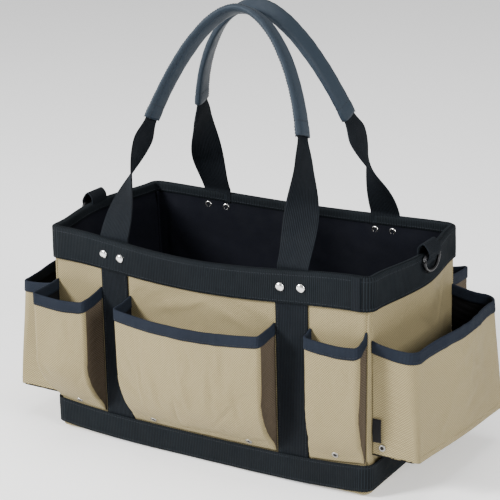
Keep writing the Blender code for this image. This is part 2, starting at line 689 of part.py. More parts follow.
# ---- Handles -------------------------------------------------------------------------
class Handle:
    """Webbing that rises from two straps, folded in half inside a tubular grip cover."""

    def __init__(self, name, side):
        self.name = name
        self.sign = 1.0 if side == REAR else -1.0
        foot = wall_point(side, STRAP_PLACE, BODY_HEIGHT, LINING_OUT / 2)
        self.root = Vector((STRAP_PLACE, foot.y, foot.z + HANDLE_ROOT_RISE))
        self.apex = Vector((0, self.sign * HANDLE_APEX_SIDE, HANDLE_APEX))
        lean = Vector((0, self.apex.y - self.root.y, self.apex.z - self.root.z))
        self.square = Vector((1, 0, 0)).cross(lean).normalized() * -self.sign
        edge = BAND_OUT + BAND_THICKNESS + HANDLE_PIVOT_GAP
        fold = wall_point(side, STRAP_PLACE, BODY_HEIGHT, edge)
        self.pivot = bpy.data.objects.new(f"{name}_handle_pivot", None)
        self.pivot.location = Vector((0, fold.y, fold.z + HANDLE_PIVOT_GAP)) * MM
        PARTS.objects.link(self.pivot)

    def centre(self, t):
        """Point of the arch; t runs from 0 at the left foot over 1 at the apex to 2."""
        share = t if t <= 1 else 2 - t
        knee_x, knee_y, knee_rise = HANDLE_KNEE
        knee = Vector((STRAP_PLACE + knee_x, self.sign * knee_y, mix((self.root.z, self.apex.z), knee_rise)))
        shoulder = self.apex + Vector((HANDLE_SHOULDER, 0, 0))
        point = self.root * (1 - share) ** 3 + knee * 3 * (1 - share) ** 2 * share
        point += shoulder * 3 * (1 - share) * share ** 2 + self.apex * share ** 3
        return Vector((point.x if t > 1 else -point.x, point.y, point.z))

    def frame(self, t):
        """Width direction and flat direction of the webbing."""
        step = 0.01
        tangent = (self.centre(min(2.0, t + step)) - self.centre(max(0.0, t - step))).normalized()
        inward = tangent.cross(self.square).normalized()
        if (inward.x > 0) != (t < 1):
            inward = -inward
        share = self.leg_share(t)
        turn = math.pi / 2 * share * share * (3 - 2 * share)
        width = inward * math.cos(turn) + self.square * math.sin(turn)
        return width, tangent.cross(width).normalized()

    @staticmethod
    def leg_share(t):
        """0 at a foot, 1 from just below the grip cover on."""
        return min(1.0, (t if t <= 1 else 2 - t) / (GRIP_START - 2 / HANDLE_STATIONS))

    def half_width(self, t):
        """Half the width of the webbing, which is folded in half in the grip."""
        share = self.leg_share(t)
        ease = max(0.0, (share - HANDLE_FOLD_START) / (1 - HANDLE_FOLD_START))
        return mix((WEBBING_WIDTH, HANDLE_FOLDED_WIDTH), ease * ease * (3 - 2 * ease)) / 2

    def hang(self, piece):
        """Put a piece's origin on the line the handle folds about."""
        piece.data.transform(Matrix.Translation(-self.pivot.location))
        piece.parent = self.pivot
        return piece

    def build_webbing(self):
        """The strip of webbing from foot to foot."""
        name = f"{self.name}_handle_webbing"
        rows = []
        for t in spaced(0.0, 2.0, HANDLE_STATIONS):
            centre = self.centre(t)
            width, _ = self.frame(t)
            half = self.half_width(t)
            rows.append([centre + width * half * share for share in (-1.0, 0.0, 1.0)])
        piece = self.hang(add_mesh(name, grid_mesh(name, rows), "webbing"))
        thicken(piece, WEBBING_THICKNESS, 0)

    def build_grip(self):
        """The flat tube sewn round the folded webbing."""
        name = f"{self.name}_grip_cover"
        rows = []
        for t in spaced(GRIP_START, 2.0 - GRIP_START, GRIP_STATIONS):
            centre = self.centre(t)
            width, flat = self.frame(t)
            rows.append([centre + width * (GRIP_WIDTH / 2) * a + flat * (GRIP_HEIGHT / 2) * b
                         for a, b in self.section()])
        piece = self.hang(add_mesh(name, grid_mesh(name, rows, closed=True), "grip"))
        thicken(piece, GRIP_WALL, -1)

    @staticmethod
    def section(count=10, squareness=0.62):
        """Round-cornered flat section, as shares of its half width and half height."""
        points = []
        for step in range(count):
            turn = 2 * math.pi * step / count
            c, s = math.cos(turn), math.sin(turn)
            points.append((math.copysign(abs(c) ** squareness, c),
                           math.copysign(abs(s) ** squareness, s)))
        return points


# ---- Hardware ------------------------------------------------------------------------
def rivet_places():
    """Names, places and directions of the eight rivets."""
    places = []
    for side in (FRONT, REAR):
        for strap, middle in (("left", -STRAP_PLACE), ("right", STRAP_PLACE)):
            for index, shift in enumerate((-RIVET_SPACING / 2, RIVET_SPACING / 2), 1):
                x = middle + shift
                along = x if side == FRONT else -x
                level = BODY_HEIGHT - RIVET_DROP
                place = wall_point(side, along, level)
                step = wall_point(side, along + 1, level) - wall_point(side, along - 1, level)
                rise = wall_point(side, along, level + 1) - wall_point(side, along, level - 1)
                name = f"{SIDE_NAMES[side]}_{strap}_rivet_{index}"
                places.append((name, place, step.cross(rise).normalized()))
    return places


def build_rivets(places):
    """Domed cap outside, shank through the layers, ring back inside."""
    outer = BAND_OUT + BAND_THICKNESS + GAP
    inner = BAND_INNER
    rim = RIVET_CAP_RIM
    profile = [(0, outer + RIVET_CAP_HEIGHT)]
    for turn in (30, 60):
        angle = math.radians(turn)
        profile.append((RIVET_CAP_RADIUS * math.sin(angle),
                        outer + rim + (RIVET_CAP_HEIGHT - rim) * math.cos(angle)))
    profile += [(RIVET_CAP_RADIUS, outer + rim), (RIVET_CAP_FOOT, outer),
                (RIVET_SHANK_RADIUS, outer), (RIVET_SHANK_RADIUS, inner),
                (RIVET_BACK_RADIUS, inner),
                (RIVET_BACK_RADIUS, inner - RIVET_BACK_RIM),
                (RIVET_BACK_CREST, inner - RIVET_BACK_THICKNESS),
                (RIVET_SHANK_RADIUS, inner - RIVET_BACK_DISH),
                (0, inner - RIVET_BACK_DISH)]
    for name, place, direction in places:
        mesh = turned_mesh(name, profile)
        piece = add_mesh(name, mesh, "nickel")
        piece.matrix_world = aim(place, direction)
        spin(piece, TURNED_STEPS)


def build_eyelets(pockets):
    """A rolled metal eyelet in each drain hole."""
    half = POCKET_THICKNESS / 2 + GAP
    top = half + EYELET_FLANGE
    profile = [(EYELET_HOLE_RADIUS, top), (EYELET_RADIUS, top - EYELET_ROLL),
               (EYELET_RADIUS, half), (EYELET_BARREL_RADIUS, half),
               (EYELET_BARREL_RADIUS, -half), (EYELET_RADIUS, -half),
               (EYELET_RADIUS, -top + EYELET_ROLL), (EYELET_HOLE_RADIUS, -top)]
    for pocket in pockets:
        for index, (place, direction) in enumerate(pocket.eyelets(), 1):
            name = f"{pocket.name}_pocket_eyelet_{index}"
            mesh = turned_mesh(name, profile)
            piece = add_mesh(name, mesh, "nickel")
            piece.matrix_world = aim(place, direction)
            spin(piece, TURNED_STEPS)


def ring_centre(side):
    """Middle of a D-ring's bar."""
    wall = wall_point(side, 0.0, BODY_HEIGHT)
    return wall + NORMALS[side] * RING_REACH - Vector((0, 0, RING_DROP))


def build_ring(side):
    """A wire D-ring that hangs from its bar; its origin is on the bar."""
    name = f"{SIDE_NAMES[side]}_d_ring"
    half = RING_INNER_WIDTH / 2 + RING_WIRE_RADIUS
    drop = RING_INNER_HEIGHT + 2 * RING_WIRE_RADIUS
    straight = drop * RING_STRAIGHT
    points = [(half * share, 0.0) for share in spaced(-1, 1, 4)]
    for turn in spaced(0.0, math.pi, 9):
        points.append((half * math.cos(turn), -straight - (drop - straight) * math.sin(turn)))
    curve = bpy.data.curves.new(name, "CURVE")
    curve.dimensions = "3D"
    curve.bevel_depth = RING_WIRE_RADIUS * MM
    curve.bevel_resolution = 2
    spline = curve.splines.new("POLY")
    spline.points.add(len(points) - 1)
    for point, (across, up) in zip(spline.points, points):
        point.co = (0, across * MM, up * MM, 1)
    spline.use_cyclic_u = True
    curve.materials.append(material(name + "_finish", "dark_metal"))
    piece = bpy.data.objects.new(name, curve)
    PARTS.objects.link(piece)
    piece.location = ring_centre(side) * MM


def build_tab(side):
    """The loop of webbing that holds a D-ring's bar, from the rim over and back."""
    name = f"{SIDE_NAMES[side]}_ring_tab"
    wall = wall_point(side, 0.0, BODY_HEIGHT)
    bar = RING_WIRE_RADIUS + GAP
    reach = RING_REACH
    low = -RING_DROP
    end = BAND_OUT + BAND_THICKNESS + 2 * GAP
    outline = [(-TAB_SEAT, TAB_THICKNESS + GAP), (-TAB_SEAT * 0.75, TAB_LIFT * 0.62),
               (reach * 0.3, TAB_LIFT), (reach * 0.95, TAB_LIFT * 0.78),
               (reach + bar + TAB_EASE, low + bar),
               (reach + bar * 0.6, low - bar - TAB_EASE * 0.7),
               (end, low - bar - TAB_EASE)]
    path = smooth_path([Vector((out, up, 0)) for out, up in outline], 3)
    rows = []
    for point in path:
        row = []
        for across in (-TAB_WIDTH / 2, 0.0, TAB_WIDTH / 2):
            away = wall + NORMALS[side] * point.x + TANGENTS[side] * across
            row.append(away + Vector((0, 0, point.y)))
        rows.append(row)
    rows.reverse()
    piece = add_mesh(name, grid_mesh(name, rows), "webbing")
    thicken(piece, TAB_THICKNESS, 1)


def build_label(pocket):
    """A blank woven label on the front gusset of the right end pocket."""
    away = pocket.wall_beside(0, POCKET_BOTTOM) + LABEL_REACH
    across = pocket.span[0] - GAP - LABEL_THICKNESS
    low = side_point(pocket.side, across, away, POCKET_BOTTOM + LABEL_RISE)
    size = Vector((LABEL_WIDTH, LABEL_THICKNESS, LABEL_HEIGHT))
    block = bmesh.new()
    bmesh.ops.create_cube(block, size=1.0)
    bmesh.ops.scale(block, vec=size * MM, verts=block.verts)
    bmesh.ops.translate(block, vec=(low + size / 2) * MM, verts=block.verts)
    mesh = bpy.data.meshes.new("side_label")
    block.to_mesh(mesh)
    block.free()
    add_mesh("side_label", mesh, "label", smooth=False)


def main():
    """Build every piece of the bag."""
    rivets = rivet_places()
    pockets = pocket_plan()
    span = 2 * (BAND_OUT + BAND_THICKNESS - BAND_INNER + BAND_THICKNESS)
    rivet_bores = bore_cutter("rivet_bores", [(place, way) for _, place, way in rivets],
                              RIVET_SHANK_RADIUS + GAP, span)
    eyelet_bores = bore_cutter("eyelet_bores", [spot for p in pockets for spot in p.eyelets()],
                               EYELET_BARREL_RADIUS + GAP, POCKET_THICKNESS * 6)
    for side in range(4):
        build_panel(side, rivet_bores)
        build_wall_board(side)
    build_base()
    build_lining(rivet_bores)
    build_bands(rivet_bores)
    build_strap("left_strap", -STRAP_PLACE, rivet_bores)
    build_strap("right_strap", STRAP_PLACE, rivet_bores)
    for pocket in pockets:
        pocket.build(eyelet_bores)
    for name, side in (("front", FRONT), ("rear", REAR)):
        handle = Handle(name, side)
        handle.build_webbing()
        handle.build_grip()
    build_rivets(rivets)
    build_eyelets(pockets)
    for side in (LEFT, RIGHT):
        build_ring(side)
        build_tab(side)
    build_label(next(pocket for pocket in pockets if pocket.name == "right_end"))


clear_scene()
PARTS = collection("garden_tool_bag")
CUTTERS = collection("cutters")
main()
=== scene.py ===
"""Finished look of a garden tool bag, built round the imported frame.

Metres, +Z up, the front wall faces -Y. Every cloth layer is laid on one bowed,
round-cornered body surface (BodyShape), set out from the canvas by its own offset, so
panels, straps, bands, lining and pockets follow each other as sewn layers do.
"""
import logging
import math
from dataclasses import dataclass
from enum import Enum, IntEnum

import bmesh
import bpy
import numpy as np
from mathutils import Matrix, Vector


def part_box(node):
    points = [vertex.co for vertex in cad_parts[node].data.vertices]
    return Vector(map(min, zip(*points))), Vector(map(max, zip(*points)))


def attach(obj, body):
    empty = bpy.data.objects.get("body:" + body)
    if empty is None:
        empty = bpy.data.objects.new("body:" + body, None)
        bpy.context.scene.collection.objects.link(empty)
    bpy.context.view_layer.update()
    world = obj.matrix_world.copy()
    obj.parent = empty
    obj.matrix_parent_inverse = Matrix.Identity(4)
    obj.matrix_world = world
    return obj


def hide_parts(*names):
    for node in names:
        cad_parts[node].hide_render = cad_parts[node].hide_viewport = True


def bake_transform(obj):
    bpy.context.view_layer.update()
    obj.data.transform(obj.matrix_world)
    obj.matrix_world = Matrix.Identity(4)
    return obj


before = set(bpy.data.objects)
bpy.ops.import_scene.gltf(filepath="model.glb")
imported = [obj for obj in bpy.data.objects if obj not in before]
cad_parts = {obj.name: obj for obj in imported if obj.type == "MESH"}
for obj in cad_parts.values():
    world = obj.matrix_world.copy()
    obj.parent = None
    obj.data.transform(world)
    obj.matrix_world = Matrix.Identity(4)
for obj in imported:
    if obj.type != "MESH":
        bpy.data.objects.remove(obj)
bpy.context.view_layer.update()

LOG = logging.getLogger("tool_bag")
Array, Mesh, Material = np.ndarray, bpy.types.Mesh, bpy.types.Material
Piece, Socket, Tree = bpy.types.Object, bpy.types.NodeSocket, bpy.types.NodeTree
MM = 0.001
TANGENTS = np.array([(1, 0), (0, 1), (-1, 0), (0, -1)], float)
NORMALS = np.array([(0, -1), (1, 0), (0, 1), (-1, 0)], float)
TO_RIGHT, TO_FRONT, UP = np.array([(1, 0, 0), (0, -1, 0), (0, 0, 1)], float)
UV_NAME = "cloth"
RIB_NAME = "rib_run"
FACING_NAME = "facing"
SEWN_NAME = "sewn"
STITCH_PITCH, STITCH_LENGTH, STITCH_RADIUS = 3.4 * MM, 2.7 * MM, 0.34 * MM
SAME_PLACE = 1e-6                # closer points of a joined edge become one
STRIP_PITCH = 1.9 * MM           # ribs of the straps, handles and tabs
STRIP_STEP = 0.45 * MM           # spacing of the points across them


class Side(IntEnum):
    """The four walls, anticlockwise seen from above."""

    FRONT = 0
    RIGHT = 1
    REAR = 2
    LEFT = 3

    @property
    def label(self) -> str:
        """The wall's name in piece names."""
        return self.name.lower()


class Weave(Enum):
    """How a woven finish is laid."""

    PLAIN = "plain"
    RIBBED = "ribbed"


# ---- Small helpers -------------------------------------------------------------------
def ease(share: Array) -> Array:
    """A smooth step from 0 to 1."""
    share = np.clip(share, 0.0, 1.0)
    return share * share * (3 - 2 * share)


def mix(start: float, end: float, share: Array) -> Array:
    """The value between two, at a share from 0 to 1."""
    return start + (end - start) * share


def ripple(u: Array, v: Array, size: float, seed: int, waves: int = 8) -> Array:
    """Smooth random unevenness, about -1 to 1, over a sheet's own coordinates.

    Args:
        u: First coordinate, in metres.
        v: Second coordinate, in metres.
        size: Usual distance between two crests, in metres.
        seed: Fixed seed of the wave set.
        waves: How many waves are added up.

    Returns:
        The height at each point.
    """
    draw = np.random.default_rng(seed)
    total = np.zeros(np.broadcast(u, v).shape)
    for _ in range(waves):
        angle = draw.uniform(0, math.pi)
        pace = 2 * math.pi / (size * draw.uniform(0.7, 1.6))
        phase = draw.uniform(0, 2 * math.pi)
        total = total + np.sin(pace * (u * math.cos(angle) + v * math.sin(angle)) + phase)
    return total / waves ** 0.5 * 0.7


def creases(u: Array, v: Array, seed: int, count: int, slant: float = 0.9,
            height: float = 1.0 * MM) -> Array:
    """Soft folds of cloth: short ridges and hollows at chosen random places.

    Args:
        u: First cloth coordinate, in metres.
        v: Second cloth coordinate, in metres.
        seed: Fixed seed of the folds.
        count: How many folds there are.
        slant: Usual angle of a fold from the first coordinate.
        height: Height of the strongest fold.

    Returns:
        The height at each point.
    """
    draw = np.random.default_rng(seed)
    total = np.zeros(np.broadcast(u, v).shape)
    for _ in range(count):
        middle_u = draw.uniform(np.min(u), np.max(u))
        middle_v = draw.uniform(np.min(v), np.max(v))
        angle = draw.choice((-1, 1)) * (slant + draw.normal(0, 0.35))
        half, width = draw.uniform(0.014, 0.040), draw.uniform(0.0032, 0.0075)
        along = (u - middle_u) * math.cos(angle) + (v - middle_v) * math.sin(angle)
        across = (v - middle_v) * math.cos(angle) - (u - middle_u) * math.sin(angle)
        across = across + draw.uniform(-5, 5) * along * along
        power = draw.choice((-1, 1)) * draw.uniform(0.35, 1.0)
        total = total + power * np.exp(-(across / width) ** 2 - (along / half) ** 2)
    return np.clip(total, -1.3, 1.3) * height


def run_lengths(points: Array) -> Array:
    """Distance along a row of points, starting at 0."""
    steps = np.linalg.norm(np.diff(points, axis=0), axis=1)
    return np.concatenate([[0.0], np.cumsum(steps)])


def cloth_map(across: Array, along: Array) -> Array:
    """Cloth coordinates of a grid, from its columns' and its rows' distances."""
    return np.stack(np.broadcast_arrays(across[None], along[:, None]), -1)


def points_of(mesh: Mesh) -> Array:
    """Coordinates of a mesh's points.

    Args:
        mesh: The mesh.

    Returns:
        The points, shaped (points, 3).
    """
    flat = np.empty(len(mesh.vertices) * 3)
    mesh.vertices.foreach_get("co", flat)
    return flat.reshape(-1, 3)


def face_outwards(mesh: Mesh, merge: float = 0.0) -> None:
    """Turn every face of a mesh outwards.

    Args:
        mesh: The mesh, which is changed.
        merge: Distance under which points become one; 0 leaves them.
    """
    edit = bmesh.new()
    edit.from_mesh(mesh)
    if merge:
        bmesh.ops.remove_doubles(edit, verts=edit.verts, dist=merge)
    bmesh.ops.recalc_face_normals(edit, faces=edit.faces)
    edit.to_mesh(mesh)
    edit.free()


def grid_mesh(name: str, grid: Array, uv: Array, wrap: bool = False,
              caps: bool = False) -> Mesh:
    """A mesh through a grid of points.

    Args:
        name: Name of the mesh.
        grid: Points, shaped (rows, columns, 3).
        uv: Cloth coordinates in metres, shaped (rows, columns or columns + 1, 2).
        wrap: Whether the last column joins the first.
        caps: Whether the first and last rows are closed with a face.

    Returns:
        The mesh, with its UV map.
    """
    rows, columns = grid.shape[:2]
    across = columns if wrap else columns - 1
    r, c = np.meshgrid(np.arange(rows - 1), np.arange(across), indexing="ij")
    r, c = r.ravel(), c.ravel()
    d = (c + 1) % columns
    quads = np.stack([r * columns + c, r * columns + d, (r + 1) * columns + d,
                      (r + 1) * columns + c], 1)
    faces = quads.tolist()
    if caps:
        faces.append(list(range(columns))[::-1])
        faces.append([(rows - 1) * columns + i for i in range(columns)])
    mesh = bpy.data.meshes.new(name)
    mesh.from_pydata(grid.reshape(-1, 3).tolist(), [], faces)
    layer = mesh.uv_layers.new(name=UV_NAME)
    e = c + 1
    corners = np.stack([uv[r, c], uv[r, e], uv[r + 1, e], uv[r + 1, c]], 1).reshape(-1, 2)
    flat = np.zeros((len(mesh.loops), 2), np.float32)
    flat[:len(corners)] = corners
    layer.data.foreach_set("uv", flat.ravel())
    mesh.shade_smooth()
    return mesh


def store_run(mesh: Mesh, run: Array) -> None:
    """Keep each point's distance across the ribs on the mesh."""
    attribute = mesh.attributes.new(RIB_NAME, "FLOAT", "POINT")
    attribute.data.foreach_set("value", run.astype(np.float32).ravel())


def add_piece(name: str, mesh: Mesh, finish: Material) -> Piece:
    """Link a mesh into the scene with its finish.

    Args:
        name: Name of the piece.
        mesh: Its mesh.
        finish: Its material.

    Returns:
        The new object.
    """
    piece = bpy.data.objects.new(name, mesh)
    bpy.context.scene.collection.objects.link(piece)
    mesh.materials.clear()
    mesh.materials.append(finish)
    return piece


def settle(piece: Piece) -> Piece:
    """Replace a piece's mesh with the result of its modifiers.

    Args:
        piece: The piece.

    Returns:
        The same object with its new mesh.
    """
    graph = bpy.context.evaluated_depsgraph_get()
    mesh = bpy.data.meshes.new_from_object(piece.evaluated_get(graph))
    piece.modifiers.clear()
    piece.data = mesh
    return piece


def thicken(piece: Piece, thickness: float, even: bool = True,
            back: int = 0) -> Piece:
    """Give a sheet its thickness, inwards from its face.

    Args:
        piece: The sheet.
        thickness: Its thickness.
        even: Whether the thickness is kept in bends.
        back: Slots from a face's own material to that of the face behind it.

    Returns:
        The same object with its new mesh.
    """
    solid = piece.modifiers.new("thickness", "SOLIDIFY")
    solid.thickness = thickness
    solid.offset = -1.0
    solid.use_even_offset = even
    solid.material_offset = back
    return settle(piece)


def smooth_path(points: list[Array], steps: int) -> Array:
    """Points along a Catmull-Rom curve through the given ones.

    Args:
        points: Points that the curve passes.
        steps: Points in each stretch.

    Returns:
        The finer points.
    """
    padded = [points[0] * 2 - points[1], *points, points[-1] * 2 - points[-2]]
    path = []
    for a, b, c, d in zip(padded, padded[1:], padded[2:], padded[3:]):
        for t in np.arange(steps) / steps:
            path.append(0.5 * (2 * b + (c - a) * t + (2 * a - 5 * b + 4 * c - d) * t * t
                               + (3 * b - a - 3 * c + d) * t ** 3))
    path.append(points[-1])
    return np.array(path)


# ---- Finishes ------------------------------------------------------------------------
class Shader:
    """A material under construction, with short calls for its nodes."""

    def __init__(self, name: str) -> None:
        """Start a material that holds a Principled shader.

        Args:
            name: Name of the material.
        """
        self.material = bpy.data.materials.new(name)
        self.material.use_nodes = True
        self.tree = self.material.node_tree
        self.surface = self.tree.nodes["Principled BSDF"]

    def node(self, kind: str, **settings: object) -> bpy.types.Node:
        """Add a node and set its properties.

        Args:
            kind: Type of the node.
            **settings: Its properties.

        Returns:
            The node.
        """
        made = self.tree.nodes.new(kind)
        for key, value in settings.items():
            setattr(made, key, value)
        return made

    def join(self, source: Socket, target: Socket) -> None:
        """Link two sockets."""
        self.tree.links.new(source, target)

    def math(self, operation: str, first: object, second: object = 0.0) -> Socket:
        """A Math node on numbers or sockets.

        Args:
            operation: What it works out.
            first: Number or socket.
            second: Number or socket.

        Returns:
            Its result.
        """
        made = self.node("ShaderNodeMath", operation=operation)
        for socket, value in zip(made.inputs, (first, second)):
            if isinstance(value, Socket):
                self.join(value, socket)
            else:
                socket.default_value = value
        return made.outputs[0]

    def cloth_axes(self) -> tuple[Socket, Socket]:
        """The two cloth coordinates of the piece's UV map.

        Returns:
            Distance across and distance along.
        """
        source = self.node("ShaderNodeUVMap", uv_map=UV_NAME)
        split = self.node("ShaderNodeSeparateXYZ")
        self.join(source.outputs[0], split.inputs[0])
        return split.outputs[0], split.outputs[1]

    def noise(self, scale: float, detail: float = 3.0, uv: bool = False) -> Socket:
        """Noise over Object coordinates, or over the UV map.

        Args:
            scale: How fine it is.
            detail: How many finer layers it has.
            uv: Whether it follows the cloth.

        Returns:
            Its value.
        """
        made = self.node("ShaderNodeTexNoise")
        made.inputs["Scale"].default_value = scale
        made.inputs["Detail"].default_value = detail
        if uv:
            source = self.node("ShaderNodeUVMap", uv_map=UV_NAME).outputs[0]
        else:
            source = self.node("ShaderNodeTexCoord").outputs["Object"]
        self.join(source, made.inputs["Vector"])
        return made.outputs["Fac"]

    def blend(self, share: Socket, low: object, high: object) -> Socket:
        """A colour between two.

        Args:
            share: 0 for the low colour, 1 for the high one.
            low: Colour or socket.
            high: Colour or socket.

        Returns:
            The colour.
        """
        made = self.node("ShaderNodeMix", data_type="RGBA")
        self.join(share, made.inputs[0])
        for socket, value in ((made.inputs[6], low), (made.inputs[7], high)):
            if isinstance(value, Socket):
                self.join(value, socket)
            else:
                socket.default_value = (*value, 1.0)
        return made.outputs[2]

    def spread(self, share: Socket, low: float, high: float, to_low: float,
               to_high: float) -> Socket:
        """Map one range of numbers to another, clamped.

        Args:
            share: The number to map.
            low: Start of the range.
            high: End of the range.
            to_low: What the start becomes.
            to_high: What the end becomes.

        Returns:
            The new number.
        """
        made = self.node("ShaderNodeMapRange")
        self.join(share, made.inputs[0])
        for index, value in enumerate((low, high, to_low, to_high), 1):
            made.inputs[index].default_value = value
        return made.outputs[0]

    def bump(self, height: Socket, distance: float, strength: float = 1.0,
             under: Socket | None = None) -> Socket:
        """A bump, on top of another where one is given.

        Args:
            height: Relief, 0 to 1.
            distance: Its depth in metres.
            strength: How strong it shows.
            under: The bump below it.

        Returns:
            The bent normal.
        """
        made = self.node("ShaderNodeBump")
        made.inputs["Strength"].default_value = strength
        made.inputs["Distance"].default_value = distance
        self.join(height, made.inputs["Height"])
        if under is not None:
            self.join(under, made.inputs["Normal"])
        return made.outputs[0]

    def finish(self, colour: Socket, roughness: object, normal: object = None,
               **constants: object) -> Material:
        """Join the surface's inputs; constants go straight on its sockets.

        Args:
            colour: Base colour.
            roughness: Number or socket.
            normal: The bump.
            **constants: Values by socket name.

        Returns:
            The material.
        """
        self.join(colour, self.surface.inputs["Base Color"])
        if isinstance(roughness, Socket):
            self.join(roughness, self.surface.inputs["Roughness"])
        else:
            self.surface.inputs["Roughness"].default_value = roughness
        if normal is not None:
            self.join(normal, self.surface.inputs["Normal"])
        for key, value in constants.items():
            self.surface.inputs[key.replace("_", " ")].default_value = value
        return self.material


@dataclass(frozen=True)
class WovenFinish:
    """Woven cloth: canvas, webbing, tape, sleeve cloth or lining."""

    name: str
    colour: tuple[float, float, float]
    shade: tuple[float, float, float]
    pitch: float                     # thread or rib spacing, m
    depth: float                     # relief of the weave, m
    weave: Weave = Weave.PLAIN
    roughness: float = 0.85
    sheen: float = 0.15
    gloss: float = 0.12
    variation: float = 0.5           # how strongly the colour wanders

    def build(self) -> Material:
        """Make the material: weave relief, thread shading, soft staining and fibres.

        Returns:
            The material.
        """
        shader = Shader(self.name)
        across, along = shader.cloth_axes()
        if self.weave is Weave.PLAIN:
            relief = self.plain(shader, across, along)
        else:
            relief = self.ribbed(shader, across, along)
        stain = shader.spread(shader.noise(9.0, 4.0), 0.3, 0.7, 0.0, self.variation)
        fibre = shader.spread(shader.noise(900.0, 2.0), 0.3, 0.7, -0.12, 0.12)
        # The weave's hollows take the shade colour, painted shade between the threads; stains and
        # fibres vary the tone as well.
        lit = shader.math("ADD", relief, fibre)
        lit = shader.math("SUBTRACT", lit, shader.math("MULTIPLY", stain, 0.35))
        colour = shader.blend(lit, self.shade, self.colour)
        rough = shader.spread(shader.noise(60.0), 0.3, 0.7, self.roughness - 0.06,
                              min(1.0, self.roughness + 0.06))
        soft = shader.bump(shader.noise(260.0, 2.0), 0.00012, 0.6)
        normal = shader.bump(relief, self.depth, 1.0, soft)
        return shader.finish(colour, rough, normal, Sheen_Weight=self.sheen,
                             Sheen_Roughness=0.5, Specular_IOR_Level=self.gloss)

    def plain(self, shader: Shader, across: Socket,
              along: Socket) -> Socket:
        """Threads that pass over and under each other.

        Args:
            shader: The material under construction.
            across: Distance across the cloth.
            along: Distance along it.

        Returns:
            The relief, 0 to 1.
        """
        pace = math.pi / self.pitch
        one = shader.math("SINE", shader.math("MULTIPLY", across, pace))
        two = shader.math("SINE", shader.math("MULTIPLY", along, pace))
        return shader.spread(shader.math("MULTIPLY", one, two), -0.7, 0.7, 0.0, 1.0)

    def ribbed(self, shader: Shader, across: Socket,
               along: Socket) -> Socket:
        """Ribs with slanting yarns on them.

        Args:
            shader: The material under construction.
            across: Distance across the ribs.
            along: Distance along them.

        Returns:
            The relief, 0 to 1.
        """
        rib = shader.math("SINE", shader.math("MULTIPLY", across, 2 * math.pi / self.pitch))
        slant = shader.math("ADD", shader.math("MULTIPLY", along, 1.0),
                            shader.math("MULTIPLY", across, 0.7))
        yarn = shader.math("SINE", shader.math("MULTIPLY", slant, 2 * math.pi / (self.pitch * 0.8)))
        both = shader.math("ADD", shader.math("MULTIPLY", rib, 0.7),
                           shader.math("MULTIPLY", yarn, 0.3))
        return shader.spread(both, -1.0, 1.0, 0.0, 1.0)


@dataclass(frozen=True)
class MetalFinish:
    """Plated metal with fine wear."""

    name: str
    colour: tuple[float, float, float]
    worn: tuple[float, float, float]
    roughness: float

    def build(self) -> Material:
        """Make the material: dull patches, rubbed spots and hairline relief.

        Returns:
            The material.
        """
        shader = Shader(self.name)
        patch = shader.spread(shader.noise(240.0, 4.0), 0.35, 0.7, 0.0, 1.0)
        colour = shader.blend(patch, self.colour, self.worn)
        rough = shader.spread(shader.noise(700.0, 3.0), 0.3, 0.7, self.roughness * 0.7,
                              self.roughness * 1.4)
        normal = shader.bump(shader.noise(1500.0, 2.0), 0.00003, 0.5)
        return shader.finish(colour, rough, normal, Metallic=1.0)


@dataclass(frozen=True)
class PlainFinish:
    """Thread, moulded sheet or a floor: a colour with fine grain."""

    name: str
    colour: tuple[float, float, float]
    shade: tuple[float, float, float]
    roughness: float = 0.7
    grain: float = 400.0
    glow: float = 0.0

    def build(self) -> Material:
        """Make the material.

        Returns:
            The material.
        """
        shader = Shader(self.name)
        fleck = shader.noise(self.grain, 3.0)
        colour = shader.blend(shader.spread(fleck, 0.3, 0.7, 0.0, 1.0), self.shade, self.colour)
        normal = shader.bump(fleck, 0.00005, 0.5)
        shader.surface.inputs["Emission Color"].default_value = (*self.colour, 1.0)
        return shader.finish(colour, self.roughness, normal, Emission_Strength=self.glow)


CANVAS = WovenFinish("beige_canvas", (0.340, 0.284, 0.152), (0.160, 0.127, 0.063), 1.4 * MM,
                     0.30 * MM, roughness=0.72, sheen=0.03, gloss=0.2, variation=0.45)
# The gussets' darker canvas is painted shade: the walls' canvas, darkened where the gussets turn
# into shade.
GUSSET_PAINTED_SHADE = WovenFinish("shaded_canvas", (0.110, 0.086, 0.060), (0.040, 0.030, 0.020), 1.4 * MM,
                     0.25 * MM, roughness=0.85, sheen=0.0, variation=0.4)
WEBBING = WovenFinish("black_webbing", (0.0100, 0.0140, 0.0190), (0.0006, 0.0008, 0.0014),
                      1.9 * MM, 0.30 * MM, Weave.RIBBED, roughness=0.78, sheen=0.0)
BAND_WEBBING = WovenFinish("band_webbing", (0.0100, 0.0145, 0.0185),
                           (0.0006, 0.0008, 0.0014), 2.2 * MM, 0.30 * MM, Weave.RIBBED,
                           roughness=0.80, sheen=0.0)
TAPE = WovenFinish("navy_grosgrain", (0.0170, 0.0235, 0.0370), (0.0030, 0.0045, 0.0080),
                   1.4 * MM, 0.16 * MM, Weave.RIBBED, roughness=0.80, sheen=0.0)
BACKING = WovenFinish("dark_backing", (0.0080, 0.0080, 0.0095), (0.0015, 0.0015, 0.0020),
                      1.1 * MM, 0.10 * MM, roughness=0.9, sheen=0.0)
SLEEVE = WovenFinish("navy_sleeve", (0.0185, 0.0295, 0.0430), (0.0110, 0.0180, 0.0270),
                     0.7 * MM, 0.06 * MM, roughness=0.55, sheen=0.02, gloss=0.2, variation=0.3)
LINING = WovenFinish("dark_lining", (0.0045, 0.0055, 0.0105), (0.0006, 0.0008, 0.0018),
                     0.8 * MM, 0.12 * MM, roughness=0.9, sheen=0.0)
LABEL = WovenFinish("black_label", (0.008, 0.008, 0.010), (0.003, 0.003, 0.004), 0.5 * MM,
                    0.05 * MM, roughness=0.7, sheen=0.1)
